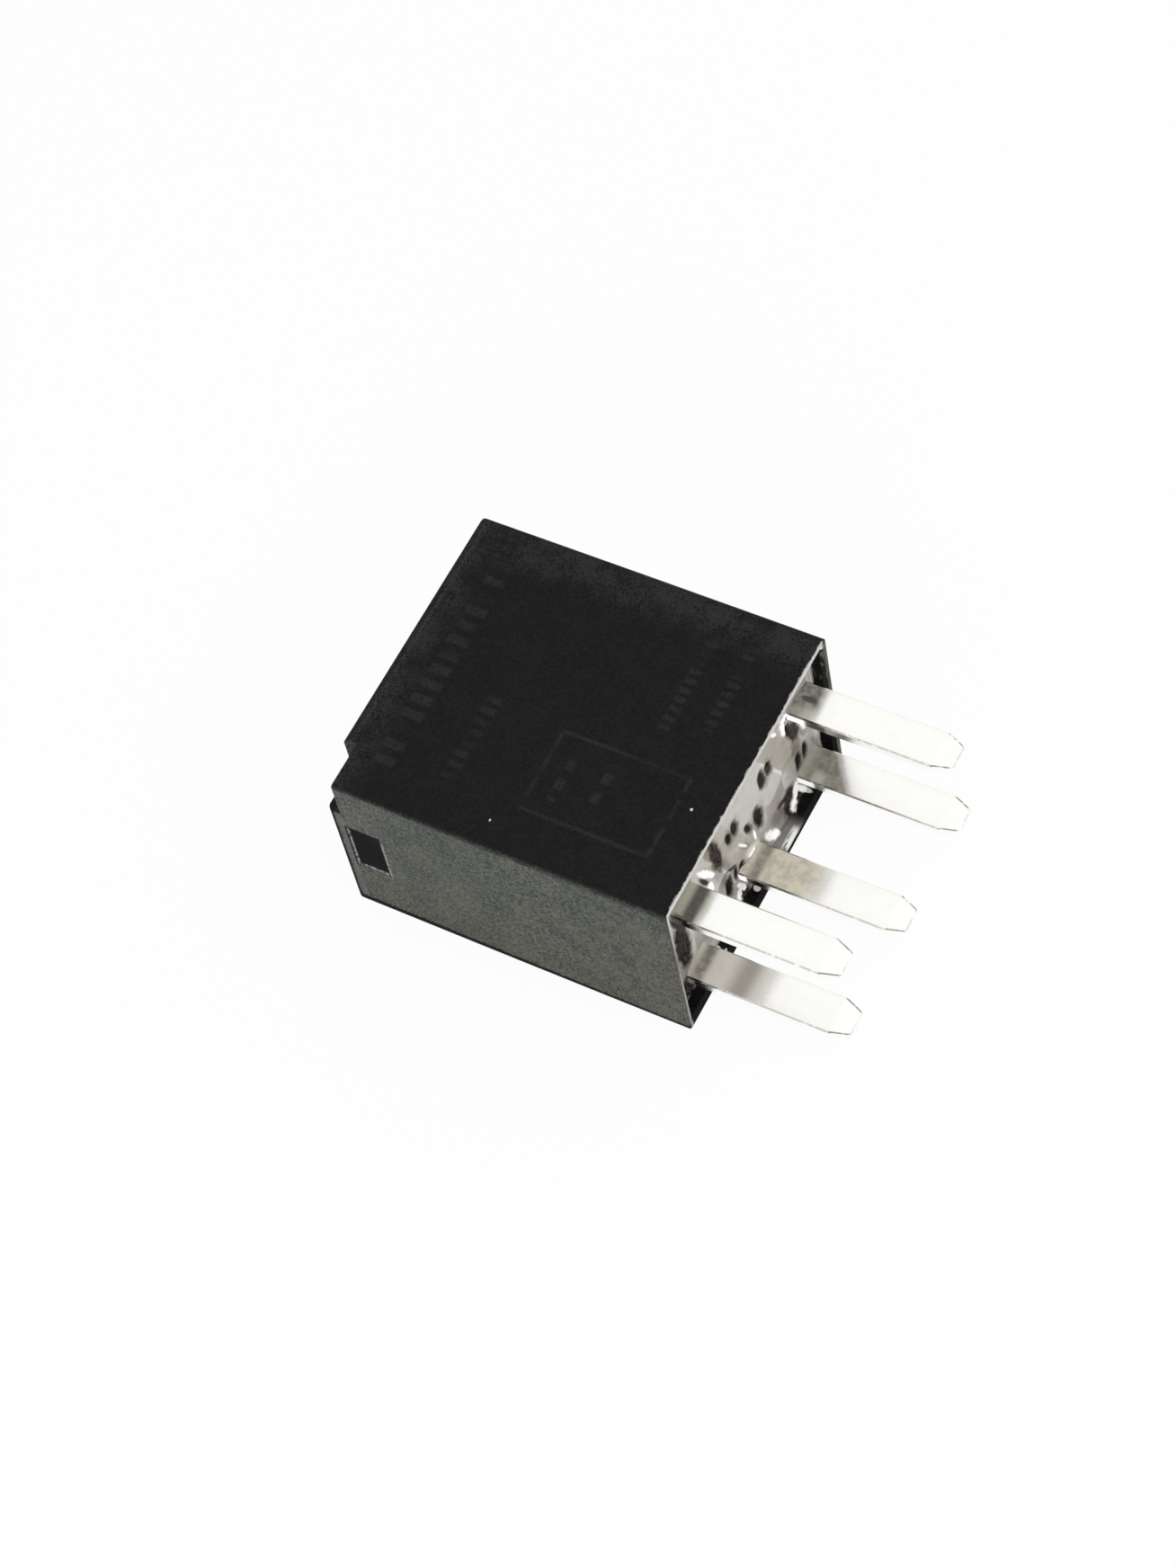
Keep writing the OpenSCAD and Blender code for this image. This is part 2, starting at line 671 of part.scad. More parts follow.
// Core with a broad pole face, riveted into the yoke's foot
module core() {
    shoulder = yoke_x0 - pole_x;
    end = yoke_x1 - pole_x;
    pole_bevel = 0.2;
    dome = 0.5;
    color([0.6, 0.6, 0.6]) translate([pole_x, coil_y, mid_z]) rotate([0, 90, 0]) rotate_extrude()
        polygon([[0, 0], [pole_d / 2 - pole_bevel, 0], [pole_d / 2, pole_bevel],
            [pole_d / 2, pole_t], [core_d / 2, pole_t], [core_d / 2, shoulder],
            [core_end_d / 2, shoulder], [core_end_d / 2, end],
            [core_end_d / 2 + core_lip, end], [core_end_d / 2, end + 0.8 * dome],
            [0, end + dome]]);
}

// L-shaped yoke: a foot under the coil, a leg beside it and two ears at the hinge
module yoke() {
    color([0.58, 0.59, 0.6]) difference() {
        union() {
            block([pole_x, yoke_x1], [yoke_y0, yoke_y1], [yoke_z0, yoke_z1]);
            along_x(yoke_x0, yoke_x1) {
                translate([yoke_y0, yoke_z0]) square([coil_y - yoke_y0, yoke_w]);
                rounded([yoke_y1, yoke_z0], [yoke_foot_y1, yoke_z1], plate_r);
            }
            for (z = [yoke_z0, yoke_z1 - ear_w])
                block([pole_x - ear_h, pole_x], [yoke_y0, yoke_y1], [z, z + ear_w]);
        }
        // Relief beside the wire turns on the near post
        block([turn_x - turns * wire_d - room, turn_x + wire_d + room],
            [yoke_y0 - cut, yoke_y1 + cut],
            [high_z - turn_r - wire_d / 2 - room / 2, yoke_z1 + cut]);
        translate([yoke_x0, coil_y, mid_z]) rotate([0, 90, 0])
            cylinder(h = 4 * yoke_t, d = core_end_d + 2 * snug, center = true);
        translate([terminal_rivet_x, yoke_y0, terminal_rivet_z]) rotate([90, 0, 0])
            cylinder(h = 4 * yoke_t, d = rivet_d + 2 * snug, center = true);
        for (z = rivet_zs) translate([spring_rivet_x, yoke_y0, z]) rotate([90, 0, 0])
            cylinder(h = 4 * yoke_t, d = rivet_d + 2 * snug, center = true);
    }
}

// Rivet with a domed head at the origin and its shank along +Z
module rivet(grip) {
    rotate_extrude() {
        square([rivet_d / 2, grip]);
        intersection() {
            translate([0, -rivet_head_t]) square([rivet_head_d / 2, rivet_head_t]);
            translate([0, rivet_head_d - rivet_head_t]) circle(rivet_head_d);
        }
    }
}
module terminal_rivet() {
    color([0.7, 0.7, 0.68]) translate([terminal_rivet_x, common_y0, terminal_rivet_z])
        rotate([-90, 0, 0]) rivet(strip_t + yoke_t - snug);
}
module spring_rivets() {
    color([0.7, 0.7, 0.68]) for (z = rivet_zs)
        translate([spring_rivet_x, yoke_y0 - spring_t, z])
            rotate([-90, 0, 0]) rivet(spring_t + yoke_t - snug);
}

// Turns what is drawn with the armature closed to where it stands at rest
module raised() {
    translate([pole_x, yoke_y0, 0]) rotate([0, 0, open_angle])
        translate([-pole_x, -yoke_y0, 0]) children();
}

module armature() {
    neck = yoke_w / 2 - ear_w - 2 * slack;
    wide = armature_w / 2;
    corner = 1.6;
    y0 = yoke_y0 + slack;
    neck_y = yoke_y1 + 3 * slack;
    hinge_r = bend_r - spring_t / 2;
    color([0.6, 0.6, 0.6]) raised() difference() {
        along_x(armature_x0, armature_x1) translate([0, mid_z]) polygon([
            [y0, -neck], [neck_y, -neck], [neck_y, -wide], [armature_y1 - corner, -wide],
            [armature_y1, corner - wide], [armature_y1, wide - corner],
            [armature_y1 - corner, wide], [neck_y, wide], [neck_y, neck], [y0, neck]]);
        // Outer edge rounded off where the spring bends around it
        along_z(0, case_t) difference() {
            translate([armature_x0 - cut, y0 - cut]) square(hinge_r + cut);
            translate([armature_x0 + hinge_r, y0 + hinge_r]) circle(hinge_r);
        }
        for (z = rivet_zs) translate([armature_x0, armature_rivet_y, z]) rotate([0, 90, 0])
            cylinder(h = 4 * armature_t, d = rivet_d + 2 * snug, center = true);
    }
}

// One leaf: flat on the yoke, bent over the hinge, flat on the armature, then the contact arm
module contact_spring() {
    color([0.72, 0.45, 0.25]) difference() {
        union() {
            block([bend_x - snug, spring_end_x], [yoke_y0 - spring_t, yoke_y0],
                [mid_z - spring_w / 2, mid_z + spring_w / 2]);
            along_z(mid_z - spring_w / 2, mid_z + spring_w / 2) translate([bend_x, bend_y])
                intersection() {
                    difference() {
                        circle(bend_r + spring_t / 2);
                        circle(bend_r - spring_t / 2);
                    }
                    polygon([[0, 0], [0, -3 * bend_r], [-3 * bend_r, -3 * bend_r],
                        3 * bend_r * [-cos(open_angle), -sin(open_angle)]]);
                }
            translate([bend_x_end, bend_y_end, mid_z]) rotate([0, 0, open_angle])
                along_x(-spring_t / 2, spring_t / 2) spring_arm();
        }
        for (z = rivet_zs) translate([spring_rivet_x, yoke_y0, z]) rotate([90, 0, 0])
            cylinder(h = 4 * spring_t, d = rivet_d + 2 * snug, center = true);
        raised() {
            for (z = rivet_zs) translate([spring_x0, armature_rivet_y, z]) rotate([0, 90, 0])
                cylinder(h = 4 * spring_t, d = rivet_d + 2 * snug, center = true);
            translate([spring_x0, contact_y, mid_z]) rotate([0, 90, 0])
                cylinder(h = 4 * spring_t, d = shank_d + 2 * snug, center = true);
        }
    }
}
// Outline of the arm from its bend: broad over the armature, narrower at the contact
module spring_arm() {
    neck_l = 1.6;
    corner = 0.6;
    far = (spring_tip_y - bend_y_end) / cos(open_angle);
    neck = far - contact_d - 2 * contact_dome - neck_l;
    half = spring_w / 2;
    tip_half = spring_tip_w / 2;
    for (s = [-1, 1]) scale([1, s]) polygon([[-snug, -snug], [far, -snug],
        [far, tip_half - corner], [far - corner, tip_half], [neck + neck_l, tip_half],
        [neck, half], [-snug, half]]);
}
module armature_rivets() {
    color([0.7, 0.7, 0.68]) raised() for (z = rivet_zs)
        translate([spring_x0, armature_rivet_y, z])
            rotate([0, 90, 0]) rivet(spring_t + armature_t - snug);
}

// Contact head with a domed face towards -Z, its back at the origin
module contact_head() {
    dome_r = (pow(contact_d / 2, 2) + pow(contact_dome, 2)) / (2 * contact_dome);
    rotate_extrude() intersection() {
        translate([0, -contact_t]) square([contact_d / 2, contact_t]);
        translate([0, dome_r - contact_t]) circle(dome_r, $fn = 96);
    }
}
module moving_contact() {
    color([0.86, 0.86, 0.84]) raised() translate([spring_x0, contact_y, mid_z])
        rotate([0, 90, 0]) {
            contact_head();
            translate([0, 0, spring_t]) scale([1, 1, -1]) contact_head();
            translate([0, 0, -snug]) cylinder(h = spring_t + 2 * snug, d = shank_d);
        }
}

// Contact with its shank riveted over behind the plate
module fixed_contact(grip) {
    upset_t = 0.2;
    upset_d = 1.5 * shank_d;
    contact_head();
    translate([0, 0, -snug]) cylinder(h = grip + snug, d = shank_d);
    translate([0, 0, grip]) cylinder(h = upset_t, d = upset_d);
}
module closed_fixed_contact() {
    color([0.86, 0.86, 0.84]) translate([closed_plate_x1, contact_y, mid_z])
        rotate([0, -90, 0]) fixed_contact(strip_t);
}
module open_fixed_contact() {
    color([0.86, 0.86, 0.84]) translate([open_plate_x0, contact_y, mid_z])
        rotate([0, 90, 0]) fixed_contact(strip_t);
}

// Coated body that is a little thicker over its two end caps
module resistor_body() {
    cap_l = 1.1;
    waist = 0.1;
    color([0.75, 0.66, 0.5]) translate([resistor_x, resistor_y - resistor_l / 2, resistor_z])
        rotate([-90, 0, 0]) rotate_extrude() {
            square([resistor_d / 2 - waist, resistor_l]);
            for (y = [0, resistor_l - cap_l]) translate([0, y]) square([resistor_d / 2, cap_l]);
        }
}
module resistor_leads() {
    r = lead_d / 2;
    color([0.8, 0.8, 0.78]) for (end = [[near_post_y, -1], [far_post_y, 1]]) {
        body_y = resistor_y + end[1] * (resistor_l / 2 + snug);
        rod([resistor_x, body_y, resistor_z], [resistor_x, end[0], resistor_z], r);
        rod([resistor_x, end[0], resistor_z], [resistor_x, end[0], high_z1 + snug], r);
        translate([resistor_x, end[0], resistor_z]) sphere(r);
    }
}

case();
base();
sealing_resin();
common_terminal();
closed_contact_terminal();
open_contact_terminal();
coil_terminal_near();
coil_terminal_far();
bobbin();
coil_winding();
coil_wire_near();
coil_wire_far();
core();
yoke();
terminal_rivet();
spring_rivets();
armature();
contact_spring();
armature_rivets();
moving_contact();
closed_fixed_contact();
open_fixed_contact();
resistor_body();
resistor_leads();
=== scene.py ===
import math

import bmesh
import bpy
from mathutils import Matrix, Vector, noise


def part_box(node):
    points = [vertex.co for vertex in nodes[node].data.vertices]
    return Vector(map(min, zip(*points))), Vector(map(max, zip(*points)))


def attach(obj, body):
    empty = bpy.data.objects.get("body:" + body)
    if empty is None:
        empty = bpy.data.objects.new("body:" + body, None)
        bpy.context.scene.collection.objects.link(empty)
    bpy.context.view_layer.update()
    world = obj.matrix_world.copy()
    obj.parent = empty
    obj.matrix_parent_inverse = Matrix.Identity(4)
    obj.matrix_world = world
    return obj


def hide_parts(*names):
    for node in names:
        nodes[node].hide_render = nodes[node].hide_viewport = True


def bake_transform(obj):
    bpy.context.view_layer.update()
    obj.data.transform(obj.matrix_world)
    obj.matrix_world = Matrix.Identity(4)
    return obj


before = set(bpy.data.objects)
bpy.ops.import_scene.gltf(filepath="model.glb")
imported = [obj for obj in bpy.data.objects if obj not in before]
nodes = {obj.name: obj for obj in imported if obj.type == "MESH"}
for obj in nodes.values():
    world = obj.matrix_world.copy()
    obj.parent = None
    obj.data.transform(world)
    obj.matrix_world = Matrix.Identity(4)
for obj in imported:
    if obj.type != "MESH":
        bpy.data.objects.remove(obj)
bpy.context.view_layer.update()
mm = 0.001  # lengths and places below are in millimetres, unless a note says metres
print("frame loaded:", len(nodes), "nodes")


# Shader maths: a socket that takes plain arithmetic, with add() for every other node
class Sock:
    def __init__(self, tree, out=None):
        self.tree, self.out = tree, out

    def add(self, kind, settings={}, sockets={}, out=0):
        node = self.tree.nodes.new(kind)
        for name, value in settings.items():
            setattr(node, name, value)
        for name, value in sockets.items():
            if isinstance(value, Sock):
                self.tree.links.new(value.out, node.inputs[name])
            else:
                node.inputs[name].default_value = value
        return Sock(self.tree, node.outputs[out])

    def maths(self, operation, a, b=0.0):
        return self.add("ShaderNodeMath", {"operation": operation}, {0: a, 1: b})

    def __add__(self, other):
        return self.maths("ADD", self, other)

    def __radd__(self, other):
        return self.maths("ADD", other, self)

    def __sub__(self, other):
        return self.maths("SUBTRACT", self, other)

    def __rsub__(self, other):
        return self.maths("SUBTRACT", other, self)

    def __mul__(self, other):
        return self.maths("MULTIPLY", self, other)

    def __rmul__(self, other):
        return self.maths("MULTIPLY", other, self)

    def __abs__(self):
        return self.maths("ABSOLUTE", self)

    # Masks from 0 to 1: a step has its edge and its softness, a range its two edges and their softness
    def over(self, edge, soft):
        return self.add("ShaderNodeMapRange", {"interpolation_type": "SMOOTHSTEP"},
                        {0: self, 1: edge - soft, 2: edge + soft})

    def under(self, edge, soft):
        return 1 - self.over(edge, soft)

    def within(self, low, high, soft):
        return self.over(low, soft) * self.under(high, soft)

    def atLeast(self, least):
        return least + (1 - least) * self

    def larger(self, other):
        return self.maths("MAXIMUM", self, other)

    def zigzag(self, step):
        return self.maths("PINGPONG", self, step)

    def colour(self, low, high):
        return self.add("ShaderNodeMix", {"data_type": "RGBA"},
                        {0: self, 6: rgb(low), 7: rgb(high)}, 2)

    def noise(self, scale, detail, rough, stretch=(1, 1, 1)):
        place = self.add("ShaderNodeMapping", {}, {0: self, 3: stretch})
        return self.add("ShaderNodeTexNoise", {}, {"Vector": place, "Scale": scale, "Detail": detail,
                                                   "Roughness": rough})

    def bump(self, strength, distance):
        return self.add("ShaderNodeBump", {}, {"Height": self, "Strength": strength,
                                               "Distance": distance * mm})


def rgb(value):
    if isinstance(value, Sock):
        return value
    return (value, value, value, 1) if isinstance(value, float) else (*value, 1)


def largest(masks):
    most = masks[0]
    for mask in masks[1:]:
        most = most.larger(mask)
    return most


# A new material: its sockets, its place in millimetres and the direction that a face looks in
class Finish:
    def __init__(self, name, **fixed):
        self.material = bpy.data.materials.new(name)
        self.material.use_nodes = True
        self.tree = self.material.node_tree
        self.shader = self.tree.nodes["Principled BSDF"]
        self.any = Sock(self.tree)
        coords = self.any.add("ShaderNodeTexCoord", {}, {}, "Object")
        self.at = coords.add("ShaderNodeVectorMath", {"operation": "SCALE"}, {0: coords, "Scale": 1 / mm})
        self.x, self.y, self.z = self.split(self.at)
        facing = self.any.add("ShaderNodeTexCoord", {}, {}, "Normal")
        self.nx, self.ny, self.nz = self.split(facing)
        for name, value in fixed.items():
            self.shader.inputs[name.replace("_", " ")].default_value = value

    def split(self, vector):
        return [self.any.add("ShaderNodeSeparateXYZ", {}, {0: vector}, i) for i in range(3)]

    # Each noise of a table, by its name: scale, detail, roughness and stretch
    def noises(self, table):
        for name, numbers in table.items():
            setattr(self, name, self.at.noise(*numbers))

    def link(self, **wires):
        for name, wire in wires.items():
            self.tree.links.new(wire.out, self.shader.inputs[name.replace("_", " ")])

    def painted(self, name):
        return self.any.add("ShaderNodeAttribute", {"attribute_name": name}, {}, "Fac")

    def mixIn(self, share, other):
        own = Sock(self.tree, self.shader.outputs[0])
        both = self.any.add("ShaderNodeMixShader", {}, {0: share, 1: own, 2: other})
        self.tree.links.new(both.out, self.tree.nodes["Material Output"].inputs[0])

    def wear(self, *names):
        for name in names:
            nodes[name].data.materials.clear()
            nodes[name].data.materials.append(self.material)


# Sizes read off the frame
caseLow, caseHigh = (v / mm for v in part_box("case"))
resinLow, resinHigh = (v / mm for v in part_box("sealing_resin"))
rimX, topZ, endX = caseHigh.x, caseHigh.z, caseLow.x
bladeNodes = ["common_terminal", "closed_contact_terminal", "open_contact_terminal",
              "coil_terminal_near", "coil_terminal_far"]


# A blade's range across and up, past the rim
def bladeSection(name):
    points = [v.co / mm for v in nodes[name].data.vertices if v.co.x / mm > rimX]
    return [(min(p[i] for p in points), max(p[i] for p in points)) for i in (1, 2)]


sections = [bladeSection(name) for name in bladeNodes]
print("blades at", [[round(sum(side) / 2, 2) for side in s] for s in sections])


# Camera at the photograph's angle, its clip range in metres
cameraSet = {"place": (91.61, -110.667, 231.542), "turn": (31.6646, 7.5161, 27.6654), "lens": 92.957,
             "clip": (0.01, 5)}


def makeCamera():
    eye = bpy.data.cameras.new("eye")
    eye.lens = cameraSet["lens"]
    eye.clip_start, eye.clip_end = cameraSet["clip"]
    camera = bpy.data.objects.new("camera", eye)
    camera.location = Vector(cameraSet["place"]) * mm
    camera.rotation_euler = [math.radians(a) for a in cameraSet["turn"]]
    bpy.context.scene.collection.objects.link(camera)
    bpy.context.scene.camera = camera


# Lights, world and floor, in metres and watts
lightSet = {
    "lamps": {"key": {"place": (0.30, -0.05, 0.50), "size": 0.60, "watts": 1.2},
              "side": {"place": (0.22, -0.50, 0.20), "size": 0.40, "watts": 0.8}},
    "worldShade": 0.60,
    "floorShade": 0.97,
    "floorGlow": 0.94,
    "floorRoughness": 0.9,
    "floorRadius": 1.5,
    "floorSides": 96,
    "floorDrop": 0.00005,
}


def addLamp(name, place, size, watts):
    lamp = bpy.data.lights.new(name, "AREA")
    lamp.shape, lamp.size, lamp.energy = "DISK", size, watts
    holder = bpy.data.objects.new(name, lamp)
    holder.location = place
    holder.rotation_euler = (-Vector(place)).to_track_quat("-Z", "Y").to_euler()
    bpy.context.scene.collection.objects.link(holder)


# Rays that see the white background: the camera's own, and mirrored or refracted ones
def seenRays(sock):
    return largest([sock.add("ShaderNodeLightPath", {}, {}, ray)
                    for ray in ("Is Camera Ray", "Is Glossy Ray", "Is Transmission Ray")])


def makeWorld():
    world = bpy.data.worlds.new("studio")
    world.use_nodes = True
    bpy.context.scene.world = world
    shade = seenRays(Sock(world.node_tree)).colour(lightSet["worldShade"], 1.0)
    world.node_tree.links.new(shade.out, world.node_tree.nodes["Background"].inputs["Color"])


def makeFloor():
    bm = bmesh.new()
    bmesh.ops.create_circle(bm, cap_ends=True, segments=lightSet["floorSides"],
                            radius=lightSet["floorRadius"],
                            matrix=Matrix.Translation((0, 0, -lightSet["floorDrop"])))
    f = Finish("floorPaint", Roughness=lightSet["floorRoughness"], Base_Color=rgb(lightSet["floorShade"]),
               Specular_IOR_Level=0.0)
    glow = f.any.add("ShaderNodeEmission", {}, {"Color": rgb(1.0), "Strength": 1.0})
    f.mixIn(seenRays(f.any) * lightSet["floorGlow"], glow)
    floor = finished(bm, "floor", f)


def finished(bm, name, finish):
    data = bpy.data.meshes.new(name)
    bm.to_mesh(data)
    bm.free()
    data.materials.append(finish.material)
    made = bpy.data.objects.new(name, data)
    bpy.context.scene.collection.objects.link(made)
    return made


makeCamera()
for lampName, lampSet in lightSet["lamps"].items():
    addLamp(lampName, **lampSet)
makeWorld()
makeFloor()
bpy.context.scene.view_settings.view_transform = "Standard"
print("camera, lights and floor set")


# Marks on the resin and the wall beside it are placed as the camera sees them, on the resin's plane.
# A mark is its middle, its two half lengths and its turn in degrees
seenSet = {"plane": 11.4, "y": 1.384, "z": -2.784}


def seenAt(x, y, z):
    away = x - seenSet["plane"]
    return y + away * seenSet["y"], z + away * seenSet["z"]


# A point's place in a mark, whose edge is 1 from its middle
def inMark(u, v, mark):
    y, z, long, wide, turn = mark
    c, s = math.cos(math.radians(turn)), math.sin(math.radians(turn))
    return ((u - y) * c + (v - z) * s) * (1 / long), ((v - z) * c - (u - y) * s) * (1 / wide)


# Case: black moulding, broad faces nearly smooth, narrow sides spark-eroded and greyer through a painted
# sheen.
# Places along it count from its closed end, or in the wall's and the rim's tables from its rim.
# Print and dust are placed in the part's own frame
caseSet = {
    "noises": {"grain": (6.5, 3.0, 0.7), "speck": (11.0, 2.0, 0.7), "mid": (3.2, 3.0, 0.7),
               "patch": (0.42, 4.0, 0.62), "tint": (0.9, 5.0, 0.75), "ragged": (1.6, 3.0, 0.6),
               "lost": (0.62, 1.0, 0.4, (0.15, 1, 1)), "streaks": (1.9, 4.0, 0.65, (2.2, 0.6, 1)),
               "dust": (2.4, 3.0, 0.65, (1, 1, 0.35)), "dotEdge": (9.0, 1.0, 0.5)},
    "roughness": (0.45, 0.15),
    "bump": (0.3, 0.02),
    "sheen": {"all": 0.010, "colour": 0.9, "roughness": 0.35, "bump": (0.1, 0.02)},
}

# Upper face: black and finely speckled, with bloom along the far and closed edges, faint worn print, and a
# painted highlight line near the closed end.
# A row of print is its place along the case, half its height, its range across and the step of its blocks
upperSet = {
    "facing": (0.5, 0.2),
    "black": (0.0030, 0.0031, 0.0031),
    "grey": (0.0070, 0.0072, 0.0072),
    "greyStep": (0.5, 0.07),
    "bluish": (0.0230, 0.0237, 0.0275),
    "brownish": (0.0245, 0.0235, 0.0218),
    "brownStep": (0.5, 0.08),
    "bloomFar": (8.8, 1.4),
    "bloomEnd": (1.85, 1.6),
    "bloomStrength": (1.15, 0.12),
    "bloomStep": (0.49, 0.08),
    "patchStep": (0.45, 0.15),
    "printed": (0.0205, 0.0215, 0.0205),
    "printStep": (0.42, 0.14),
    "lostStep": (0.43, 0.04),
    "rows": [(-9.3, 0.75, -8.6, 8.4, 0.62), (-4.9, 0.52, -8.2, -0.6, 0.44), (6.2, 0.42, 1.0, 8.4, 0.38),
             (8.9, 0.42, 2.0, 8.8, 0.38), (2.0, 0.30, -6.6, -2.6, 0.75), (4.6, 0.30, -6.6, -2.6, 0.75)],
    "rowSoft": 0.12,
    "blockShare": 0.45,
    "blockSoft": 0.10,
    "frame": (0.4, 9.6, -7.8, -1.6),
    "frameLine": (0.14, 0.08),
    "frameEndSoft": 0.1,
    # Painted highlight: a pale line along the start of the closed end's rounding
    "endLineAt": 0.66,
    "endLine": (0.12, 0.07),
    "endLineStep": (0.5, 0.10),
    "endHighlightColour": (0.040, 0.041, 0.040),
    "dots": [(-0.86, -9.36, 0.06), (10.62, -3.62, 0.08)],
    "dotShape": (2.4, 0.6, 0.5),
    "dotColour": (0.75, 0.74, 0.70),
}


def printMarks(f):
    rows = [abs(f.x - x).under(half, upperSet["rowSoft"]) * f.y.within(y0, y1, upperSet["rowSoft"])
            * f.y.zigzag(step).over(step * upperSet["blockShare"], upperSet["blockSoft"])
            for x, half, y0, y1, step in upperSet["rows"]]
    x0, x1, y0, y1 = upperSet["frame"]
    ring = abs(abs(f.x - (x0 + x1) / 2) - (x1 - x0) / 2).under(*upperSet["frameLine"])
    band = abs(abs(f.y - (y0 + y1) / 2) - (y1 - y0) / 2).under(*upperSet["frameLine"])
    return largest(rows + [ring * f.y.within(y0, y1, upperSet["frameEndSoft"]),
                           band * f.x.within(x0, x1, upperSet["frameEndSoft"])])


def upperFace(f):
    black = (f.grain * 0.5 + f.mid * 0.5).over(*upperSet["greyStep"])
    strong, faint = upperSet["bloomStrength"]
    atEdge = f.y.over(*upperSet["bloomFar"]).larger(f.fromEnd.under(*upperSet["bloomEnd"]))
    patchy = f.patch.over(*upperSet["patchStep"])
    bloom = (atEdge * strong + faint) * f.top * (f.grain * 0.6 + f.tint * 0.4).over(*upperSet["bloomStep"])
    bloom = bloom * (0.25 + patchy)
    bloomColour = f.tint.over(*upperSet["brownStep"]).colour(upperSet["bluish"], upperSet["brownish"])
    colour = bloom.colour(black.colour(upperSet["black"], upperSet["grey"]), bloomColour)
    worn = printMarks(f) * f.grain.over(*upperSet["printStep"]) * patchy.atLeast(0.3)
    worn = worn * f.lost.over(*upperSet["lostStep"]).atLeast(0.2) * f.top
    colour = worn.colour(colour, upperSet["printed"])
    # Painted highlight along the start of the closed end's rounding
    endLine = abs(f.fromEnd - upperSet["endLineAt"]).under(*upperSet["endLine"])
    endLine = endLine * f.grain.over(*upperSet["endLineStep"]) * f.top
    return (endLine * 0.8).colour(colour, upperSet["endHighlightColour"])


# Dots of dust, a little longer across, with uneven outlines
def dustDots(f, colour):
    ragged, flat, soft = upperSet["dotShape"]
    for x, y, r in upperSet["dots"]:
        away = (f.x - x) * (f.x - x) + (f.y - y) * (f.y - y) * flat - f.dotEdge * (r * r * ragged)
        colour = (away.under(0.0, r * r * soft) * f.top).colour(colour, upperSet["dotColour"])
    return colour


# Narrow sides: a painted grey sheen with fine speckle, greener above and browner below, with painted shade as
# dark lines along the bottom and closed-end edges and a painted highlight as a pale line just inside the
# closed end
sideSet = {
    "facing": (0.5, 0.2),
    "rimTurn": 0.8,
    "outer": (-0.38, 0.04),
    "upper": (-0.22, 0.32),
    "upperWobble": 1.3,
    # Dark and pale grey of the sides: a painted sheen over the speckle
    "dark": (0.046, 0.048, 0.042),
    "pale": (0.168, 0.170, 0.156),
    "paleStep": (0.5, 0.06),
    "green": (0.085, 0.103, 0.090),
    "brown": (0.110, 0.103, 0.079),
    "brownStep": (0.5, 0.06),
    "brownLean": (0.004, 0.012),
    "leanMiddle": 8.0,
    "lilac": (0.130, 0.122, 0.126),
    "lilacEnd": (4.0, 1.5),
    "lilacUpper": (8.5, 1.5),
    "lilacStep": (0.45, 0.1),
    "speckle": (1.3, 0.25),
    "paleLine": (0.62, 1.05, 0.15),
    "paleLineWobble": 0.8,
    "edgeHighlightColour": (0.18, 0.17, 0.18),
    "lowLine": (0.68, 0.07),
    "lowLineWobble": 0.6,
    "endLine": (0.50, 0.06),
    "endLineWobble": 0.4,
    "edgeShadeColour": (0.012, 0.012, 0.011),
}


def onNarrowSide(f):
    facing = (abs(f.ny) + sideSet["rimTurn"] * f.nx).over(*sideSet["facing"])
    below = (f.fromTop + sideSet["upperWobble"] * f.wobble).under(*sideSet["upper"])
    return facing * below * (abs(f.y) - caseHigh.y).over(*sideSet["outer"])


def narrowSide(f):
    # Painted sheen: the pale and dark tones lift the black sides to grey
    tone = (f.grain * 0.30 + f.speck * 0.35 + f.patch * 0.1 + f.mid * 0.25).over(*sideSet["paleStep"])
    alongLean, upLean = sideSet["brownLean"]
    lean = upLean * (f.z - sideSet["leanMiddle"]) - alongLean * f.x
    brown = (0.5 * f.tint + 0.5 * f.patch - lean).over(*sideSet["brownStep"])
    hue = brown.colour(sideSet["green"], sideSet["brown"])
    lilac = f.fromEnd.under(*sideSet["lilacEnd"]) * f.z.over(*sideSet["lilacUpper"])
    lilac = lilac * f.tint.over(*sideSet["lilacStep"])
    hue = (lilac * 0.7).colour(hue, sideSet["lilac"])
    strong, least = sideSet["speckle"]
    colour = (abs(tone - 0.5) * strong + least).colour(hue, tone.colour(sideSet["dark"], sideSet["pale"]))
    # Painted highlight: a pale line just inside the closed end
    paleLine = (f.fromEnd + sideSet["paleLineWobble"] * f.wobble).within(*sideSet["paleLine"])
    colour = (paleLine * 0.45).colour(colour, sideSet["edgeHighlightColour"])
    # Painted shade: dark lines along the bottom edge and at the closed end
    lowLine = (f.z + sideSet["lowLineWobble"] * f.wobble).under(*sideSet["lowLine"])
    endLine = (f.fromEnd + sideSet["endLineWobble"] * f.wobble).under(*sideSet["endLine"])
    return lowLine.larger(endLine).colour(colour, sideSet["edgeShadeColour"])


# Grip pocket: painted shade makes it flat black inside, with a faint painted glow, and a painted highlight
# makes its mouth a broken pale line. Corner notch: painted light on its wall
pocketSet = {
    "along": (1.0, 3.65, 0.02),
    "up": (4.95, 9.85, 0.02),
    "deep": (9.9, 11.3, 0.03),
    # Inside the pocket: painted shade as its colour, and a faint painted glow in the next colour
    "paint": 0.002,
    "black": (0.0150, 0.0150, 0.0152),
    "mouthFrom": (11.0, 0.05),
    "mouthFacing": (0.25, 0.94, 0.05),
    "farEdge": (3.63, 3.79, 0.03),
    "farEdgeUp": (5.1, 9.2, 0.2),
    # Painted highlight along the pocket's mouth
    "mouth": (0.30, 0.30, 0.28),
    "mouthStep": (0.44, 0.1),
    "notchFacing": (-0.5, 0.2),
    "notchAlong": (1.1, 0.04),
    "notchAcross": (-9.0, 0.3),
    "notchUp": (11.0, 0.2),
    # Painted light on the notch's wall
    "notch": (0.085, 0.087, 0.092),
    "notchStep": (0.48, 0.1),
}


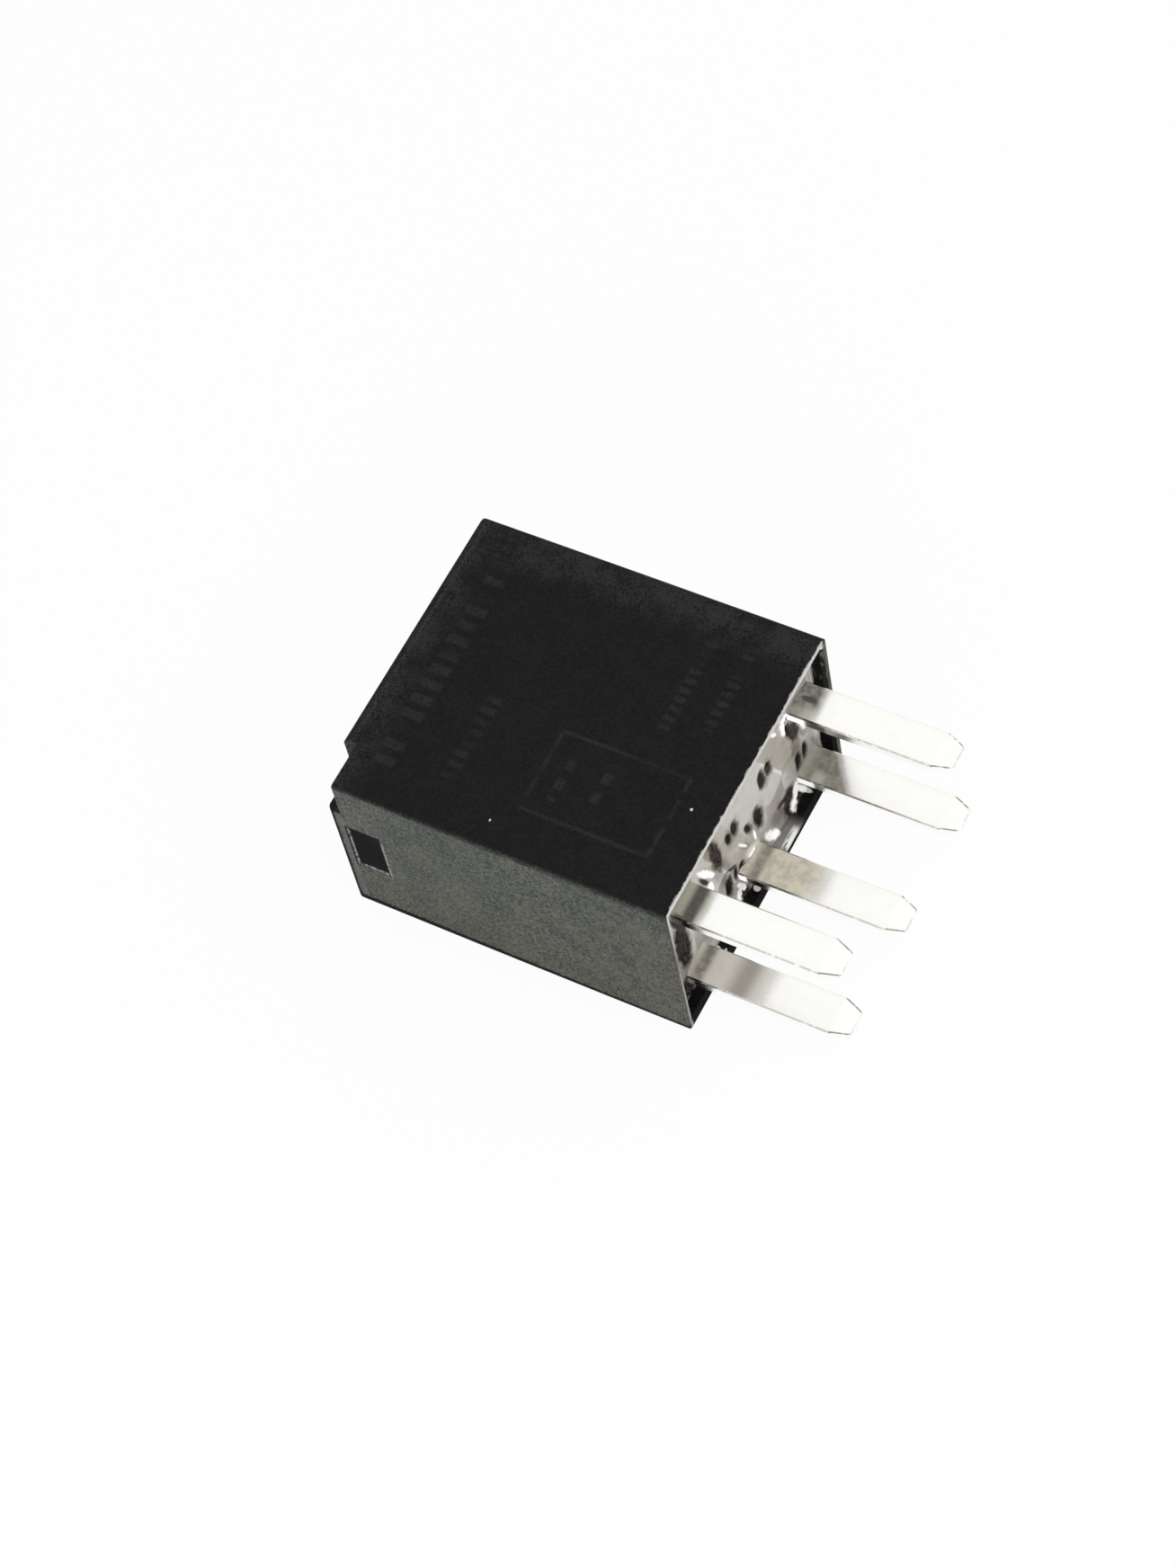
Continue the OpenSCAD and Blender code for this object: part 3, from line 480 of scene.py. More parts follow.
def pocketAndNotch(f, colour):
    pocket = f.fromEnd.within(*pocketSet["along"]) * f.z.within(*pocketSet["up"])
    # Painted shade: the pocket's inside is near black, with a faint painted glow except at its mouth
    hollow = pocket * abs(f.y).within(*pocketSet["deep"])
    colour = hollow.colour(colour, pocketSet["paint"])
    # Painted highlights along the pocket's mouth and its far edge
    mouth = pocket * abs(f.y).over(*pocketSet["mouthFrom"]) * abs(f.ny).within(*pocketSet["mouthFacing"])
    f.link(Emission_Color=(hollow * (1 - mouth)).colour(0.0, pocketSet["black"]))
    farEdge = f.fromEnd.within(*pocketSet["farEdge"]) * f.z.within(*pocketSet["farEdgeUp"]) * f.onSide
    mouth = mouth.larger(farEdge) * f.mid.over(*pocketSet["mouthStep"])
    colour = mouth.colour(colour, pocketSet["mouth"])
    # Painted light on the notch's wall
    notch = f.ny.under(*pocketSet["notchFacing"]) * f.fromEnd.under(*pocketSet["notchAlong"])
    notch = notch * f.y.over(*pocketSet["notchAcross"]) * f.z.over(*pocketSet["notchUp"])
    notch = notch * f.mid.over(*pocketSet["notchStep"]).atLeast(0.4)
    return notch.colour(colour, pocketSet["notch"])


# Bottom wall inside the rim: a streaky smear of resin, with painted highlights as bright white streaks and
# gleams
wallSet = {
    "facing": (0.4, 0.2),
    "along": (-1.45, 0.1),
    "up": (0.75, 0.05),
    "smear": (0.27, 0.262, 0.262),
    "smearAcross": (2.6, 5.3, 0.7),
    "smearStrength": (0.55, 0.7),
    "white": (0.95, 0.95, 0.93),
    "whiteAcross": (3.1, 4.9, 0.3),
    "whiteAlong": (-0.45, -0.05, 0.1),
    "whiteStep": (0.43, 0.07),
    # Painted highlights, placed as the camera sees them
    "gleams": [(8.0, 0.3, 2.10, 0.20, 116), (0.67, -1.3, 0.80, 0.24, 117), (-4.95, -0.2, 0.90, 0.12, 112),
               (-4.1, -2.0, 0.35, 0.14, 90), (5.6, -2.75, 0.75, 0.16, 0), (6.9, 0.3, 1.10, 0.16, 75)],
    "gleamEdge": (1.0, 0.3),
}


def gleamOvals(f):
    ovals = []
    for mark in wallSet["gleams"]:
        a, b = inMark(*seenAt(f.x, f.y, f.z), mark)
        ovals.append((a * a + b * b).under(*wallSet["gleamEdge"]))
    return largest(ovals)


def wallSmear(f, colour):
    wall = f.z.under(*wallSet["up"]) * f.fromRim.over(*wallSet["along"]) * f.nz.over(*wallSet["facing"])
    least, more = wallSet["smearStrength"]
    smear = f.y.within(*wallSet["smearAcross"]) * wall * (least + more * f.streaks)
    colour = smear.colour(colour, wallSet["smear"])
    # Painted highlights: white streaks and gleams over the smear
    white = f.y.within(*wallSet["whiteAcross"]) * f.fromRim.within(*wallSet["whiteAlong"])
    white = white * wall * f.streaks.over(*wallSet["whiteStep"])
    return white.larger(gleamOvals(f) * wall).colour(colour, wallSet["white"])


# Rim: resin has run along the upper wall's end and left it pale and ragged, and the far corner is dusty
rimSet = {
    "pale": (0.56, 0.55, 0.525),
    "facing": (0.35, 0.15),
    "along": (-0.32, 0.04),
    "upper": (-0.86, 0.05),
    "across": (-10.95, 11.0, 0.12),
    "upperStrength": (0.5, 0.8),
    "spill": (0.0, 0.03),
    "spillRagged": (0.5, 0.42),
    "spillUpper": (-0.3, 0.05),
    "spillAcross": (-10.8, 10.9, 0.2),
    "dust": (0.16, 0.16, 0.16),
    "dustStep": (0.58, 0.07),
    "dustAlong": (-1.35, 0.1),
    "dustAcross": (10.6, 0.1),
    "dustUp": (10.5, 14.0, 0.4),
    "glossAcross": (-11.12, -10.85, 0.08),
    "glossUp": (10.0, 2.5),
}


def palerRim(f, colour):
    f.endFace = f.nx.over(*rimSet["facing"]) * f.fromRim.over(*rimSet["along"])
    f.upperRim = f.fromTop.over(*rimSet["upper"]) * f.y.within(*rimSet["across"]) * f.endFace
    reach, middle = rimSet["spillRagged"]
    spill = (f.fromRim + reach * (f.ragged - middle)).over(*rimSet["spill"])
    spill = spill * f.fromTop.over(*rimSet["spillUpper"]) * f.y.within(*rimSet["spillAcross"])
    least, more = rimSet["upperStrength"]
    pale = (f.upperRim * (least + more * f.mid)).larger(spill * 0.7)
    colour = pale.colour(colour, rimSet["pale"])
    dusty = f.dust.over(*rimSet["dustStep"]) * f.fromRim.over(*rimSet["dustAlong"])
    dusty = dusty * f.y.over(*rimSet["dustAcross"]) * f.z.within(*rimSet["dustUp"]) * (1 - f.onSide)
    return (dusty * 0.6).colour(colour, rimSet["dust"])


def casePlastic():
    f = Finish("blackCasePlastic", Specular_IOR_Level=0.0, Emission_Strength=1.0)
    f.noises(caseSet["noises"])
    f.wobble = f.grain - 0.5
    f.fromEnd, f.fromRim, f.fromTop = f.x - endX, f.x - rimX, f.z - topZ
    f.top = f.nz.over(*upperSet["facing"])
    f.onSide = onNarrowSide(f)
    colour = f.onSide.colour(upperFace(f), narrowSide(f))
    colour = pocketAndNotch(f, colour)
    colour = wallSmear(f, colour)
    colour = palerRim(f, colour)
    colour = dustDots(f, colour)
    least, more = caseSet["roughness"]
    f.link(Base_Color=colour, Roughness=least + more * f.grain, Normal=f.grain.bump(*caseSet["bump"]))
    # Sheen of the whole case, stronger along the rim's upper end and near edge
    sheen = caseSet["sheen"]
    nearRim = f.y.within(*rimSet["glossAcross"]) * f.endFace
    nearRim = nearRim * (0.15 + 0.4 * f.ragged + 0.3 * f.z.over(*rimSet["glossUp"]))
    mirror = f.any.add("ShaderNodeBsdfAnisotropic", {}, {"Color": rgb(sheen["colour"]),
                                                         "Roughness": sheen["roughness"],
                                                         "Normal": f.grain.bump(*sheen["bump"])})
    f.mixIn((f.upperRim * 0.55 * f.ragged).larger(nearRim) + sheen["all"], mirror)
    return f


# Sealing resin: poured, glossy and uneven, higher at the walls and blades, with sunken pits and slightly
# raised gleams. Painted shade darkens the pits and patches, and painted highlights make the gleams and light
# marks pale, the gleams also glowing
resinSet = {
    "cell": 0.08,
    "climb": 0.55,
    "climbUneven": 0.5,
    "climbNoise": (0.35, 3.0),
    "bladeClimb": 0.60,
    "bladeReach": 1.1,
    "bladeCurve": 2.5,
    "wave": 0.05,
    "waveNoise": (0.45, 9.0),
    "belowRim": 0.1,
    # Darker brown towards the blade roots
    "darkerReach": 0.9,
    "stain": 0.8,
    "pitDepth": 0.13,
    "gleamRise": 0.10,
    "smoothAbove": 0.02,
    "markNoise": (1.9, 7.0),
    "markUneven": 0.28,
    "soft": {"pit": 0.75, "patch": 0.75, "tan": 0.9, "gleam": 0.4, "light": 1.0},
    "noises": {"cloud": (0.8, 3.0, 0.55), "fine": (4.0, 3.0, 0.6)},
    "paleStep": (0.46, 0.14),
    "pale": (0.51, 0.483, 0.445),
    "tan": (0.45, 0.42, 0.355),
    "darkerTone": (0.13, 0.11, 0.088),
    "darkerStrength": (0.35, 0.5),
    "light": (0.72, 0.71, 0.66),
    "pit": (0.014, 0.013, 0.012),
    "patch": (0.075, 0.062, 0.055),
    "patchStep": (0.5, 0.12),
    "gleam": (0.95, 0.95, 0.93),
    # Strength of the gleams' painted glow
    "glow": 0.3,
    "roughness": (0.25, 0.15),
    "bump": (0.15, 0.03),
}
# Listed marks: pits and patches carry painted shade and dark reflections, gleams and light marks painted
# highlights, tan marks a darker brown
resinMarks = {
    "pit": [(-1.40, 8.15, 0.78, 0.36, 100), (-0.55, 8.15, 0.88, 0.42, 98), (3.45, 8.15, 1.10, 0.46, 96),
            (4.42, 8.25, 0.90, 0.40, 100), (0.95, 5.85, 0.80, 0.32, 115), (2.40, 5.05, 1.45, 0.52, 100),
            (8.03, 3.65, 1.05, 0.42, 92), (8.97, 3.75, 0.92, 0.34, 90), (-2.37, 3.20, 1.12, 0.40, 97),
            (-1.28, 3.55, 0.78, 0.28, 92), (-0.47, 3.35, 0.62, 0.38, 105), (7.12, 8.75, 0.85, 0.16, 100)],
    "patch": [(-3.2, 8.95, 2.20, 0.60, 100), (6.20, 2.05, 1.00, 0.85, 100), (6.9, 1.20, 1.10, 0.50, 100),
              (7.7, 0.25, 1.00, 0.75, 0), (-1.7, 4.9, 0.95, 0.13, 142), (-2.1, 3.9, 0.90, 0.22, 95),
              (6.0, 0.9, 1.50, 0.70, 95), (-0.8, 0.0, 0.95, 0.75, 100), (-8.6, 8.5, 2.00, 0.30, 113),
              (5.3, 2.60, 0.70, 0.26, 165), (-8.55, 5.8, 2.90, 0.92, 95), (-8.35, 4.3, 0.80, 0.50, 60),
              (-4.95, 8.3, 1.30, 0.22, 115), (-8.9, 1.0, 1.50, 0.95, 100), (7.85, 7.85, 1.75, 0.60, 113)],
    "tan": [(0.3, 4.7, 1.00, 0.28, 125), (-2.0, 5.0, 1.10, 0.35, 140), (-3.9, 10.3, 1.00, 0.50, 110),
            (-6.9, 1.8, 1.50, 0.50, 100), (-0.9, 8.4, 1.20, 0.90, 100), (4.0, 8.3, 1.20, 1.00, 95),
            (5.1, 2.3, 1.00, 0.50, 120), (2.6, 1.4, 1.50, 0.30, 120), (4.6, 1.6, 1.60, 0.60, 120),
            (4.9, 0.4, 1.40, 0.70, 110), (8.4, 3.7, 1.20, 1.00, 90), (1.9, 5.6, 1.20, 1.20, 100),
            (-2.5, 5.6, 2.00, 0.75, 105), (5.4, 1.2, 1.30, 0.50, 110), (-3.4, 7.2, 1.50, 0.50, 100),
            (-2.2, 4.6, 1.30, 0.70, 100), (0.6, 2.3, 0.50, 0.30, 90), (1.6, 2.2, 1.40, 0.60, 116),
            (7.9, 5.2, 1.60, 0.60, 100), (-6.9, 8.0, 0.60, 0.40, 100)],
    "gleam": [(6.7, 9.75, 1.10, 0.30, 97), (5.5, 10.75, 0.65, 0.14, 125), (-4.65, 8.85, 1.70, 0.28, 120),
              (-4.4, 6.80, 0.75, 0.34, 105), (3.50, 1.20, 1.55, 0.40, 126), (6.45, 0.45, 0.80, 0.40, 95),
              (6.90, 1.60, 0.85, 0.26, 80), (1.45, 4.4, 0.70, 0.12, 95), (0.8, 3.2, 0.14, 0.50, 95),
              (-0.1, 5.4, 0.90, 0.10, 120), (9.1, 6.9, 0.95, 0.24, 110), (7.95, 0.3, 2.10, 0.24, 116),
              (-1.05, 1.6, 0.95, 0.24, 116), (-1.5, 1.2, 0.60, 0.28, 95), (7.0, 1.5, 0.95, 0.30, 78),
              (6.95, 10.5, 0.45, 0.26, 20)],
    "light": [(-7.55, 4.9, 2.00, 0.34, 92), (-9.5, 9.2, 1.60, 0.25, 100), (1.0, 3.3, 1.00, 0.45, 150),
              (10.2, 4.4, 1.80, 0.40, 116), (-4.2, 5.6, 1.10, 0.30, 116)],
}


# A slow noise over the resin, with its scale and its own layer
def waveAt(y, z, scale, layer):
    return noise.noise(Vector((y * scale, z * scale, layer)))


# How much of a kind of mark is at a place, from 0 to 1 with smooth and uneven edges
def markAt(kind, y, z):
    soft = resinSet["soft"][kind]
    edge = 1 + soft / 2 + resinSet["markUneven"] * waveAt(y, z, *resinSet["markNoise"])
    nearest = min(math.hypot(*inMark(y, z, mark)) for mark in resinMarks[kind])
    share = min(max((edge - nearest) / soft, 0.0), 1.0)
    return share * share * (3 - 2 * share)


# Height of the hollow quarter round where resin climbs a wall
def hollowFlank(distance, climb):
    if distance >= climb:
        return 0.0
    gone = climb - max(distance, 0.0)
    return climb - math.sqrt(climb * climb - gone * gone)


# How near a point is to the nearest blade: 1 at its skin, 0 past the reach
def rootNearness(y, z, reach):
    away = min(math.hypot(max(y0 - y, y - y1, 0), max(z0 - z, z - z1, 0)) for (y0, y1), (z0, z1) in sections)
    return max(1 - away / reach, 0.0)


def resinLevel(y, z):
    wobble = waveAt(y, z, *resinSet["climbNoise"])
    climb = resinSet["climb"] * (0.8 + resinSet["climbUneven"] * wobble)
    atWall = min(y - resinLow.y, resinHigh.y - y, z - resinLow.z, resinHigh.z - z)
    drawn = rootNearness(y, z, resinSet["bladeReach"]) ** resinSet["bladeCurve"]
    rise = max(hollowFlank(atWall, climb), resinSet["bladeClimb"] * (1 + 0.6 * wobble) * drawn)
    return resinHigh.x - resinSet["climb"] + rise + resinSet["wave"] * waveAt(y, z, *resinSet["waveNoise"])


# A fine grid across the case, raised to the resin's level and closed at its back
def makeResin():
    low, high = resinLow, resinHigh
    bm = bmesh.new()
    across, up = (round((high[i] - low[i]) / resinSet["cell"]) for i in (1, 2))
    place = Matrix(((0, 0, 1, 0), (1, 0, 0, (low.y + high.y) / 2), (0, 1, 0, (low.z + high.z) / 2),
                    (0, 0, 0, 1))) @ Matrix.Diagonal(((high.y - low.y) / 2, (high.z - low.z) / 2, 1, 1))
    layers = {kind: bm.verts.layers.float.new(kind) for kind in resinMarks}
    bmesh.ops.create_grid(bm, x_segments=across, y_segments=up, size=1, matrix=place)
    for v in bm.verts:
        level = resinLevel(v.co.y, v.co.z)
        seen = seenAt(level, v.co.y, v.co.z)
        for kind, layer in layers.items():
            v[layer] = markAt(kind, *seen)
        # Darker brown towards the blade roots, added to the tan layer
        stain = resinSet["stain"] * rootNearness(v.co.y, v.co.z, resinSet["darkerReach"])
        v[layers["tan"]] = max(v[layers["tan"]], stain)
        level += resinSet["gleamRise"] * v[layers["gleam"]] - resinSet["pitDepth"] * v[layers["pit"]]
        v.co.x = min(level, rimX - resinSet["belowRim"])
    rim = [e for e in bm.edges if e.is_boundary]
    wall = bmesh.ops.extrude_edge_only(bm, edges=rim)["geom"]
    for v in wall:
        if isinstance(v, bmesh.types.BMVert):
            v.co.x = low.x
    bmesh.ops.edgeloop_fill(bm, edges=[e for e in bm.edges if e.is_boundary])
    bmesh.ops.recalc_face_normals(bm, faces=bm.faces)
    bmesh.ops.scale(bm, vec=(mm, mm, mm), verts=bm.verts)
    for face in bm.faces:
        face.smooth = face.normal.x > resinSet["smoothAbove"]
    resin = finished(bm, "resin_surface", resinFinish())
    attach(resin, "relay_body")
    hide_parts("sealing_resin")


def resinFinish():
    f = Finish("sealingResin", Specular_IOR_Level=0.0, Coat_Roughness=0.08,
               Emission_Strength=resinSet["glow"])
    f.noises(resinSet["noises"])
    tan, light, patch, pit, gleam = (f.painted(kind) for kind in ("tan", "light", "patch", "pit", "gleam"))
    paler = (f.cloud * 0.7 + f.fine * 0.3).over(*resinSet["paleStep"])
    colour = paler.colour(resinSet["tan"], resinSet["pale"])
    # Darker brown at the tan marks and near the blade roots
    least, more = resinSet["darkerStrength"]
    colour = (tan * (least + more * f.cloud)).colour(colour, resinSet["darkerTone"])
    # Painted highlights in the light marks
    colour = (light * 0.8).colour(colour, resinSet["light"])
    # Painted shade and dark reflections in the patches and the pits, painted highlights in the gleams, which
    # also glow
    patchColour = f.fine.over(*resinSet["patchStep"]).colour(resinSet["pit"], resinSet["patch"])
    colour = (patch * 1.1).colour(colour, patchColour)
    colour = gleam.colour(pit.colour(colour, resinSet["pit"]), resinSet["gleam"])
    least, more = resinSet["roughness"]
    f.link(Base_Color=colour, Roughness=least + more * f.fine, Normal=f.fine.bump(*resinSet["bump"]),
           Coat_Weight=1 - 0.9 * pit.larger(patch), Emission_Color=gleam.colour(0.0, 1.0))
    return f


# Tinned strip: bright plate with faint rolling streaks, a painted dark reflection on its coined edges, and a
# painted glow
stripSet = {
    "noises": {"streak": (6.0, 3.0, 0.6, (0.12, 1, 1)), "stain": (0.9, 3.0, 0.6), "nick": (2.2, 3.0, 0.7)},
    "bright": (0.990, 0.985, 0.965),
    "dull": (0.93, 0.92, 0.87),
    "dullStep": (0.56, 0.14),
    "coined": (0.10, 0.095, 0.08),
    "coinedFacing": (0.30, 0.08),
    "coinedNear": (0.0, 0.1),
    # Painted glow: blades glow where their emission colour is lit; the leads link no emission colour, so they
    # glow with the shader's default
    "glow": 0.8,
    "roughness": (0.15, 0.08),
    "bump": (0.12, 0.01),
}


def tinPlate(name):
    f = Finish(name, Metallic=1.0, Emission_Strength=stripSet["glow"])
    f.noises(stripSet["noises"])
    f.plate = (f.stain.over(*stripSet["dullStep"]) * 0.3).colour(stripSet["bright"], stripSet["dull"])
    # Painted dark reflection on the coined edges, stronger on the near ones
    f.coined = (abs(f.ny) * abs(f.nz)).over(*stripSet["coinedFacing"])
    f.coined = f.coined * f.ny.under(*stripSet["coinedNear"]).atLeast(0.45)
    least, more = stripSet["roughness"]
    f.roughness = least + more * f.streak
    return f


def linkTin(f, colour):
    f.link(Base_Color=(f.coined * (0.55 + 0.6 * f.streak)).colour(colour, stripSet["coined"]),
           Roughness=f.roughness, Normal=f.streak.bump(*stripSet["bump"]))
    return f


# Blades: tin with a painted reflection of the dark case inside and of the resin where it leaves the resin,
# and painted shade bands there. The upper row is high; far and near are across the case
bladeSet = {
    "flat": (0.9, 0.06),
    "high": (8.0, 0.5),
    "far": (4.0, 0.5),
    "near": (-4.0, 0.5),
    "mottle": (1.7, 4.0, 0.65),
    "mottleStep": (0.5, 0.12),
    "shortRoot": 13.4,
    "shortUneven": 0.35,
    "shortLow": 1.0,
    "shortSlant": 0.75,
    "slantMiddle": 8.2,
    "shortEnd": (0.0, 0.42),
    "longRoot": 16.6,
    "longUneven": 0.6,
    "longEnd": (0.0, 1.2),
    "rootRoughness": 0.3,
    "rootMatt": 0.92,
    "beige": (0.70, 0.65, 0.53),
    "greyDark": (0.130, 0.125, 0.095),
    "greyPale": (0.300, 0.293, 0.255),
    "taupe": (0.33, 0.305, 0.25),
    "olive": (0.47, 0.475, 0.385),
    "oliveAcross": (7.7, 0.5),
    "creamy": (0.92, 0.89, 0.79),
    "creamyAlong": (13.1, 14.4, 0.3),
    "umber": (0.32, 0.30, 0.25),
    "ash": (0.66, 0.63, 0.60),
    "pale": (0.56, 0.54, 0.47),
    "paleAcross": (7.7, 0.4),
    "paleAlong": (12.75, 13.6, 0.25),
    "paleLow": (12.4, 0.5),
    # Colour of the painted shade on the roots
    "shadeColour": (0.055, 0.053, 0.040),
    "shadeLow": (12.15, 12.95, 0.25),
    "shadeHighNear": (12.38, 13.32, 0.28),
    "shadeLowNear": (14.9, 16.2, 0.5),
    "shadeLine": (12.85, 8.35),
    "shadeLineShape": (2.2, 22),
    "shadeLineEdge": (1.0, 0.6),
    "shadeBandAcross": (-9.28, 0.12),
    "shadeBandAlong": (11.9, 13.3, 0.25),
    "rowStep": 4.1,
    "cream": (0.97, 0.94, 0.85),
    "creamEdge": (1.05, 0.35),
    "halfWidth": 1.4,
    "tipStart": 22.1,
    "tipStartSoft": 0.05,
    "tipSlope": 0.37,
    "tipEnd": (23.36, 0.03),
    "outline": (0.17, 0.155, 0.125),
    "outlineWidth": (0.11, 0.04),
    "outlineFacing": (0.5, 0.2),
    "cornerStep": (0.44, 0.1),
    "endStep": (0.5, 0.1),
    "coinedStep": (0.40, 0.12),
    "coinedFade": (15.0, 1.5),
    "litFacing": (0.9, 0.05),
    "litAlong": (12.15, 0.15),
    "litFarther": 0.95,
    "darkFacing": (-0.9, 0.05),
    "darkHighFar": (13.2, 14.6, 0.15),
    "darkHighNear": (13.1, 0.2),
    "darkMiddle": (12.2, 13.3, 0.1),
}


# Reach of the root's painted reflection: short on the far and upper blades, longer on the others
def rootReach(f):
    slant = bladeSet["shortRoot"] + bladeSet["shortUneven"] * f.stain
    slant = slant + f.low * (bladeSet["shortLow"] - bladeSet["shortSlant"] * (f.y - bladeSet["slantMiddle"]))
    short = (f.x - slant).under(*bladeSet["shortEnd"]) * (1 - f.low * (1 - f.far))
    long = (f.x - bladeSet["longRoot"] - bladeSet["longUneven"] * f.stain).under(*bladeSet["longEnd"])
    return (short + long * f.low * (1 - f.far)) * f.flat


# Colour of that painted reflection: grey on the far blades, olive on the near upper one, beige on the others
def rootReflection(f):
    grey = f.mottle.colour(bladeSet["greyDark"], bladeSet["greyPale"])
    tint = f.far.colour(bladeSet["beige"], grey)
    tint = (f.far * f.low * (0.35 + 0.5 * f.mottle)).colour(tint, bladeSet["taupe"])
    tint = (f.high * f.far * f.y.under(*bladeSet["oliveAcross"]) * 0.6).colour(tint, bladeSet["olive"])
    tint = (f.high * f.near).colour(tint, bladeSet["olive"])
    tint = (f.x.within(*bladeSet["creamyAlong"]) * f.low * f.near * 0.8).colour(tint, bladeSet["creamy"])
    tint = ((1 - f.mottle) * (0.42 - 0.3 * f.near) * (1 - f.far)).colour(tint, bladeSet["umber"])
    tint = (f.low * f.near * 0.45).colour(tint, bladeSet["ash"])
    pale = f.y.under(*bladeSet["paleAcross"]) * f.x.within(*bladeSet["paleAlong"]) * f.far
    pale = (pale * 0.85).larger(f.low * f.far * f.x.under(*bladeSet["paleLow"]) * 0.55)
    return pale.colour(tint, bladeSet["pale"])


# Painted shade: dark bands and lines on the roots
def rootShade(f):
    alongLine, acrossLine = bladeSet["shadeLine"]
    longer, wider = bladeSet["shadeLineShape"]
    line = (f.x - alongLine) * (f.x - alongLine) * longer + (f.y - acrossLine) * (f.y - acrossLine) * wider
    shadeBand = f.y.under(*bladeSet["shadeBandAcross"]) * f.x.within(*bladeSet["shadeBandAlong"])
    return largest([
        f.x.within(*bladeSet["shadeLow"]) * f.low * (1 - 0.8 * f.far) * (0.35 + 0.4 * f.mottle),
        f.x.within(*bladeSet["shadeHighNear"]) * f.high * f.near * f.mottle.atLeast(0.92),
        f.x.within(*bladeSet["shadeLowNear"]) * f.low * f.near * 0.46,
        line.under(*bladeSet["shadeLineEdge"]) * f.high * f.far,
        shadeBand * f.high * f.near * 0.9])


# Cream towards the edges, and painted shade as a thin broken outline along the tip's slanted corners and its
# end
def creamAndOutline(f, colour, root):
    across = f.y.zigzag(bladeSet["rowStep"])
    cream = across.over(*bladeSet["creamEdge"]) * f.flat * (1 - root) * 0.6
    colour = cream.colour(colour, bladeSet["cream"])
    corner = bladeSet["halfWidth"] - bladeSet["tipSlope"] * (f.x - bladeSet["tipStart"]) - across
    corner = corner.under(*bladeSet["outlineWidth"])
    corner = corner * f.x.over(bladeSet["tipStart"], bladeSet["tipStartSoft"])
    tipEnd = f.x.over(*bladeSet["tipEnd"]) * f.nick.over(*bladeSet["endStep"]) * 0.4
    outline = (corner * f.nick.over(*bladeSet["cornerStep"])).larger(tipEnd)
    outline = outline * f.nz.over(*bladeSet["outlineFacing"])
    return (outline * 0.85).colour(colour, bladeSet["outline"])


# Painted shade on blade sides that look to the near side, close to the resin
def shadedSides(f):
    places = [f.x.within(*bladeSet["darkHighFar"]) * f.high * f.far,
              f.x.under(*bladeSet["darkHighNear"]) * f.high * f.near,
              f.x.within(*bladeSet["darkMiddle"]) * (1 - f.far) * (1 - f.near)]
    return f.ny.under(*bladeSet["darkFacing"]) * largest(places)


def bladeTin():
    f = tinPlate("tinnedBlade")
    f.flat = abs(f.nz).over(*bladeSet["flat"])
    f.high, f.far = f.z.over(*bladeSet["high"]), f.y.over(*bladeSet["far"])
    f.near, f.low = f.y.under(*bladeSet["near"]), 1 - f.high
    f.mottle = f.at.noise(*bladeSet["mottle"]).over(*bladeSet["mottleStep"])
    root = rootReach(f)
    # Painted reflection of the dark case inside and the resin on the root, with painted shade bands
    darkerTone = rootShade(f).colour(rootReflection(f), bladeSet["shadeColour"])
    colour = creamAndOutline(f, (root * 0.97).colour(f.plate, darkerTone), root)
    f.coined = f.coined * (1 - 0.5 * f.x.over(*bladeSet["coinedFade"])) * f.nick.over(*bladeSet["coinedStep"])
    f.coined = f.coined.larger(shadedSides(f))
    f.roughness = f.roughness + bladeSet["rootRoughness"] * root
    # Painted highlight: sides that look across glow white close to the resin
    lit = abs(f.ny).over(*bladeSet["litFacing"]) * f.y.over(*bladeSet["near"])
    lit = lit * (f.x - bladeSet["litFarther"] * f.far).under(*bladeSet["litAlong"])
    f.link(Metallic=1 - root * bladeSet["rootMatt"], Emission_Color=lit.colour(0.0, 1.0))
    return linkTin(f, colour)


def leadTin():
    f = tinPlate("tinnedLead")
    return linkTin(f, f.plate)


# Inner pieces: mottled finishes, each with two colours, its noise, its grain's stretch and its nodes.
# The bronze one goes to the contact leaf below
innerSet = {
    "basePlastic": {"low": (0.020, 0.018, 0.016), "high": (0.052, 0.045, 0.040), "scale": 5.0,
                    "roughness": 0.42, "worn": ["base"]},
    "bobbinPlastic": {"low": (0.70, 0.66, 0.56), "high": (0.82, 0.79, 0.70), "scale": 4.0,
                      "roughness": 0.38, "worn": ["bobbin"]},
    "softIron": {"low": (0.40, 0.40, 0.40), "high": (0.60, 0.61, 0.62), "scale": 8.0, "roughness": 0.28,
                 "stretch": (0.2, 1, 1), "metallic": 1.0, "worn": ["core", "armature"]},
    "platedIron": {"low": (0.52, 0.53, 0.50), "high": (0.68, 0.70, 0.71), "scale": 3.0, "roughness": 0.24,
                   "metallic": 1.0, "worn": ["yoke", "terminal_rivet", "spring_rivets", "armature_rivets"]},
    "contactSilver": {"low": (0.72, 0.71, 0.68), "high": (0.92, 0.92, 0.90), "scale": 6.0,
                      "roughness": 0.22, "metallic": 1.0,
                      "worn": ["moving_contact", "closed_fixed_contact", "open_fixed_contact"]},
    "springBronze": {"low": (0.60, 0.36, 0.18), "high": (0.80, 0.52, 0.29), "scale": 9.0, "roughness": 0.24,
                     "stretch": (1, 1, 0.15), "metallic": 1.0},
}
mottleSet = {"broad": (0.2, 3.0, 0.6), "fine": (3.0, 0.65), "highStep": (0.5, 0.2), "uneven": 0.15,
             "bump": (0.25, 0.01)}


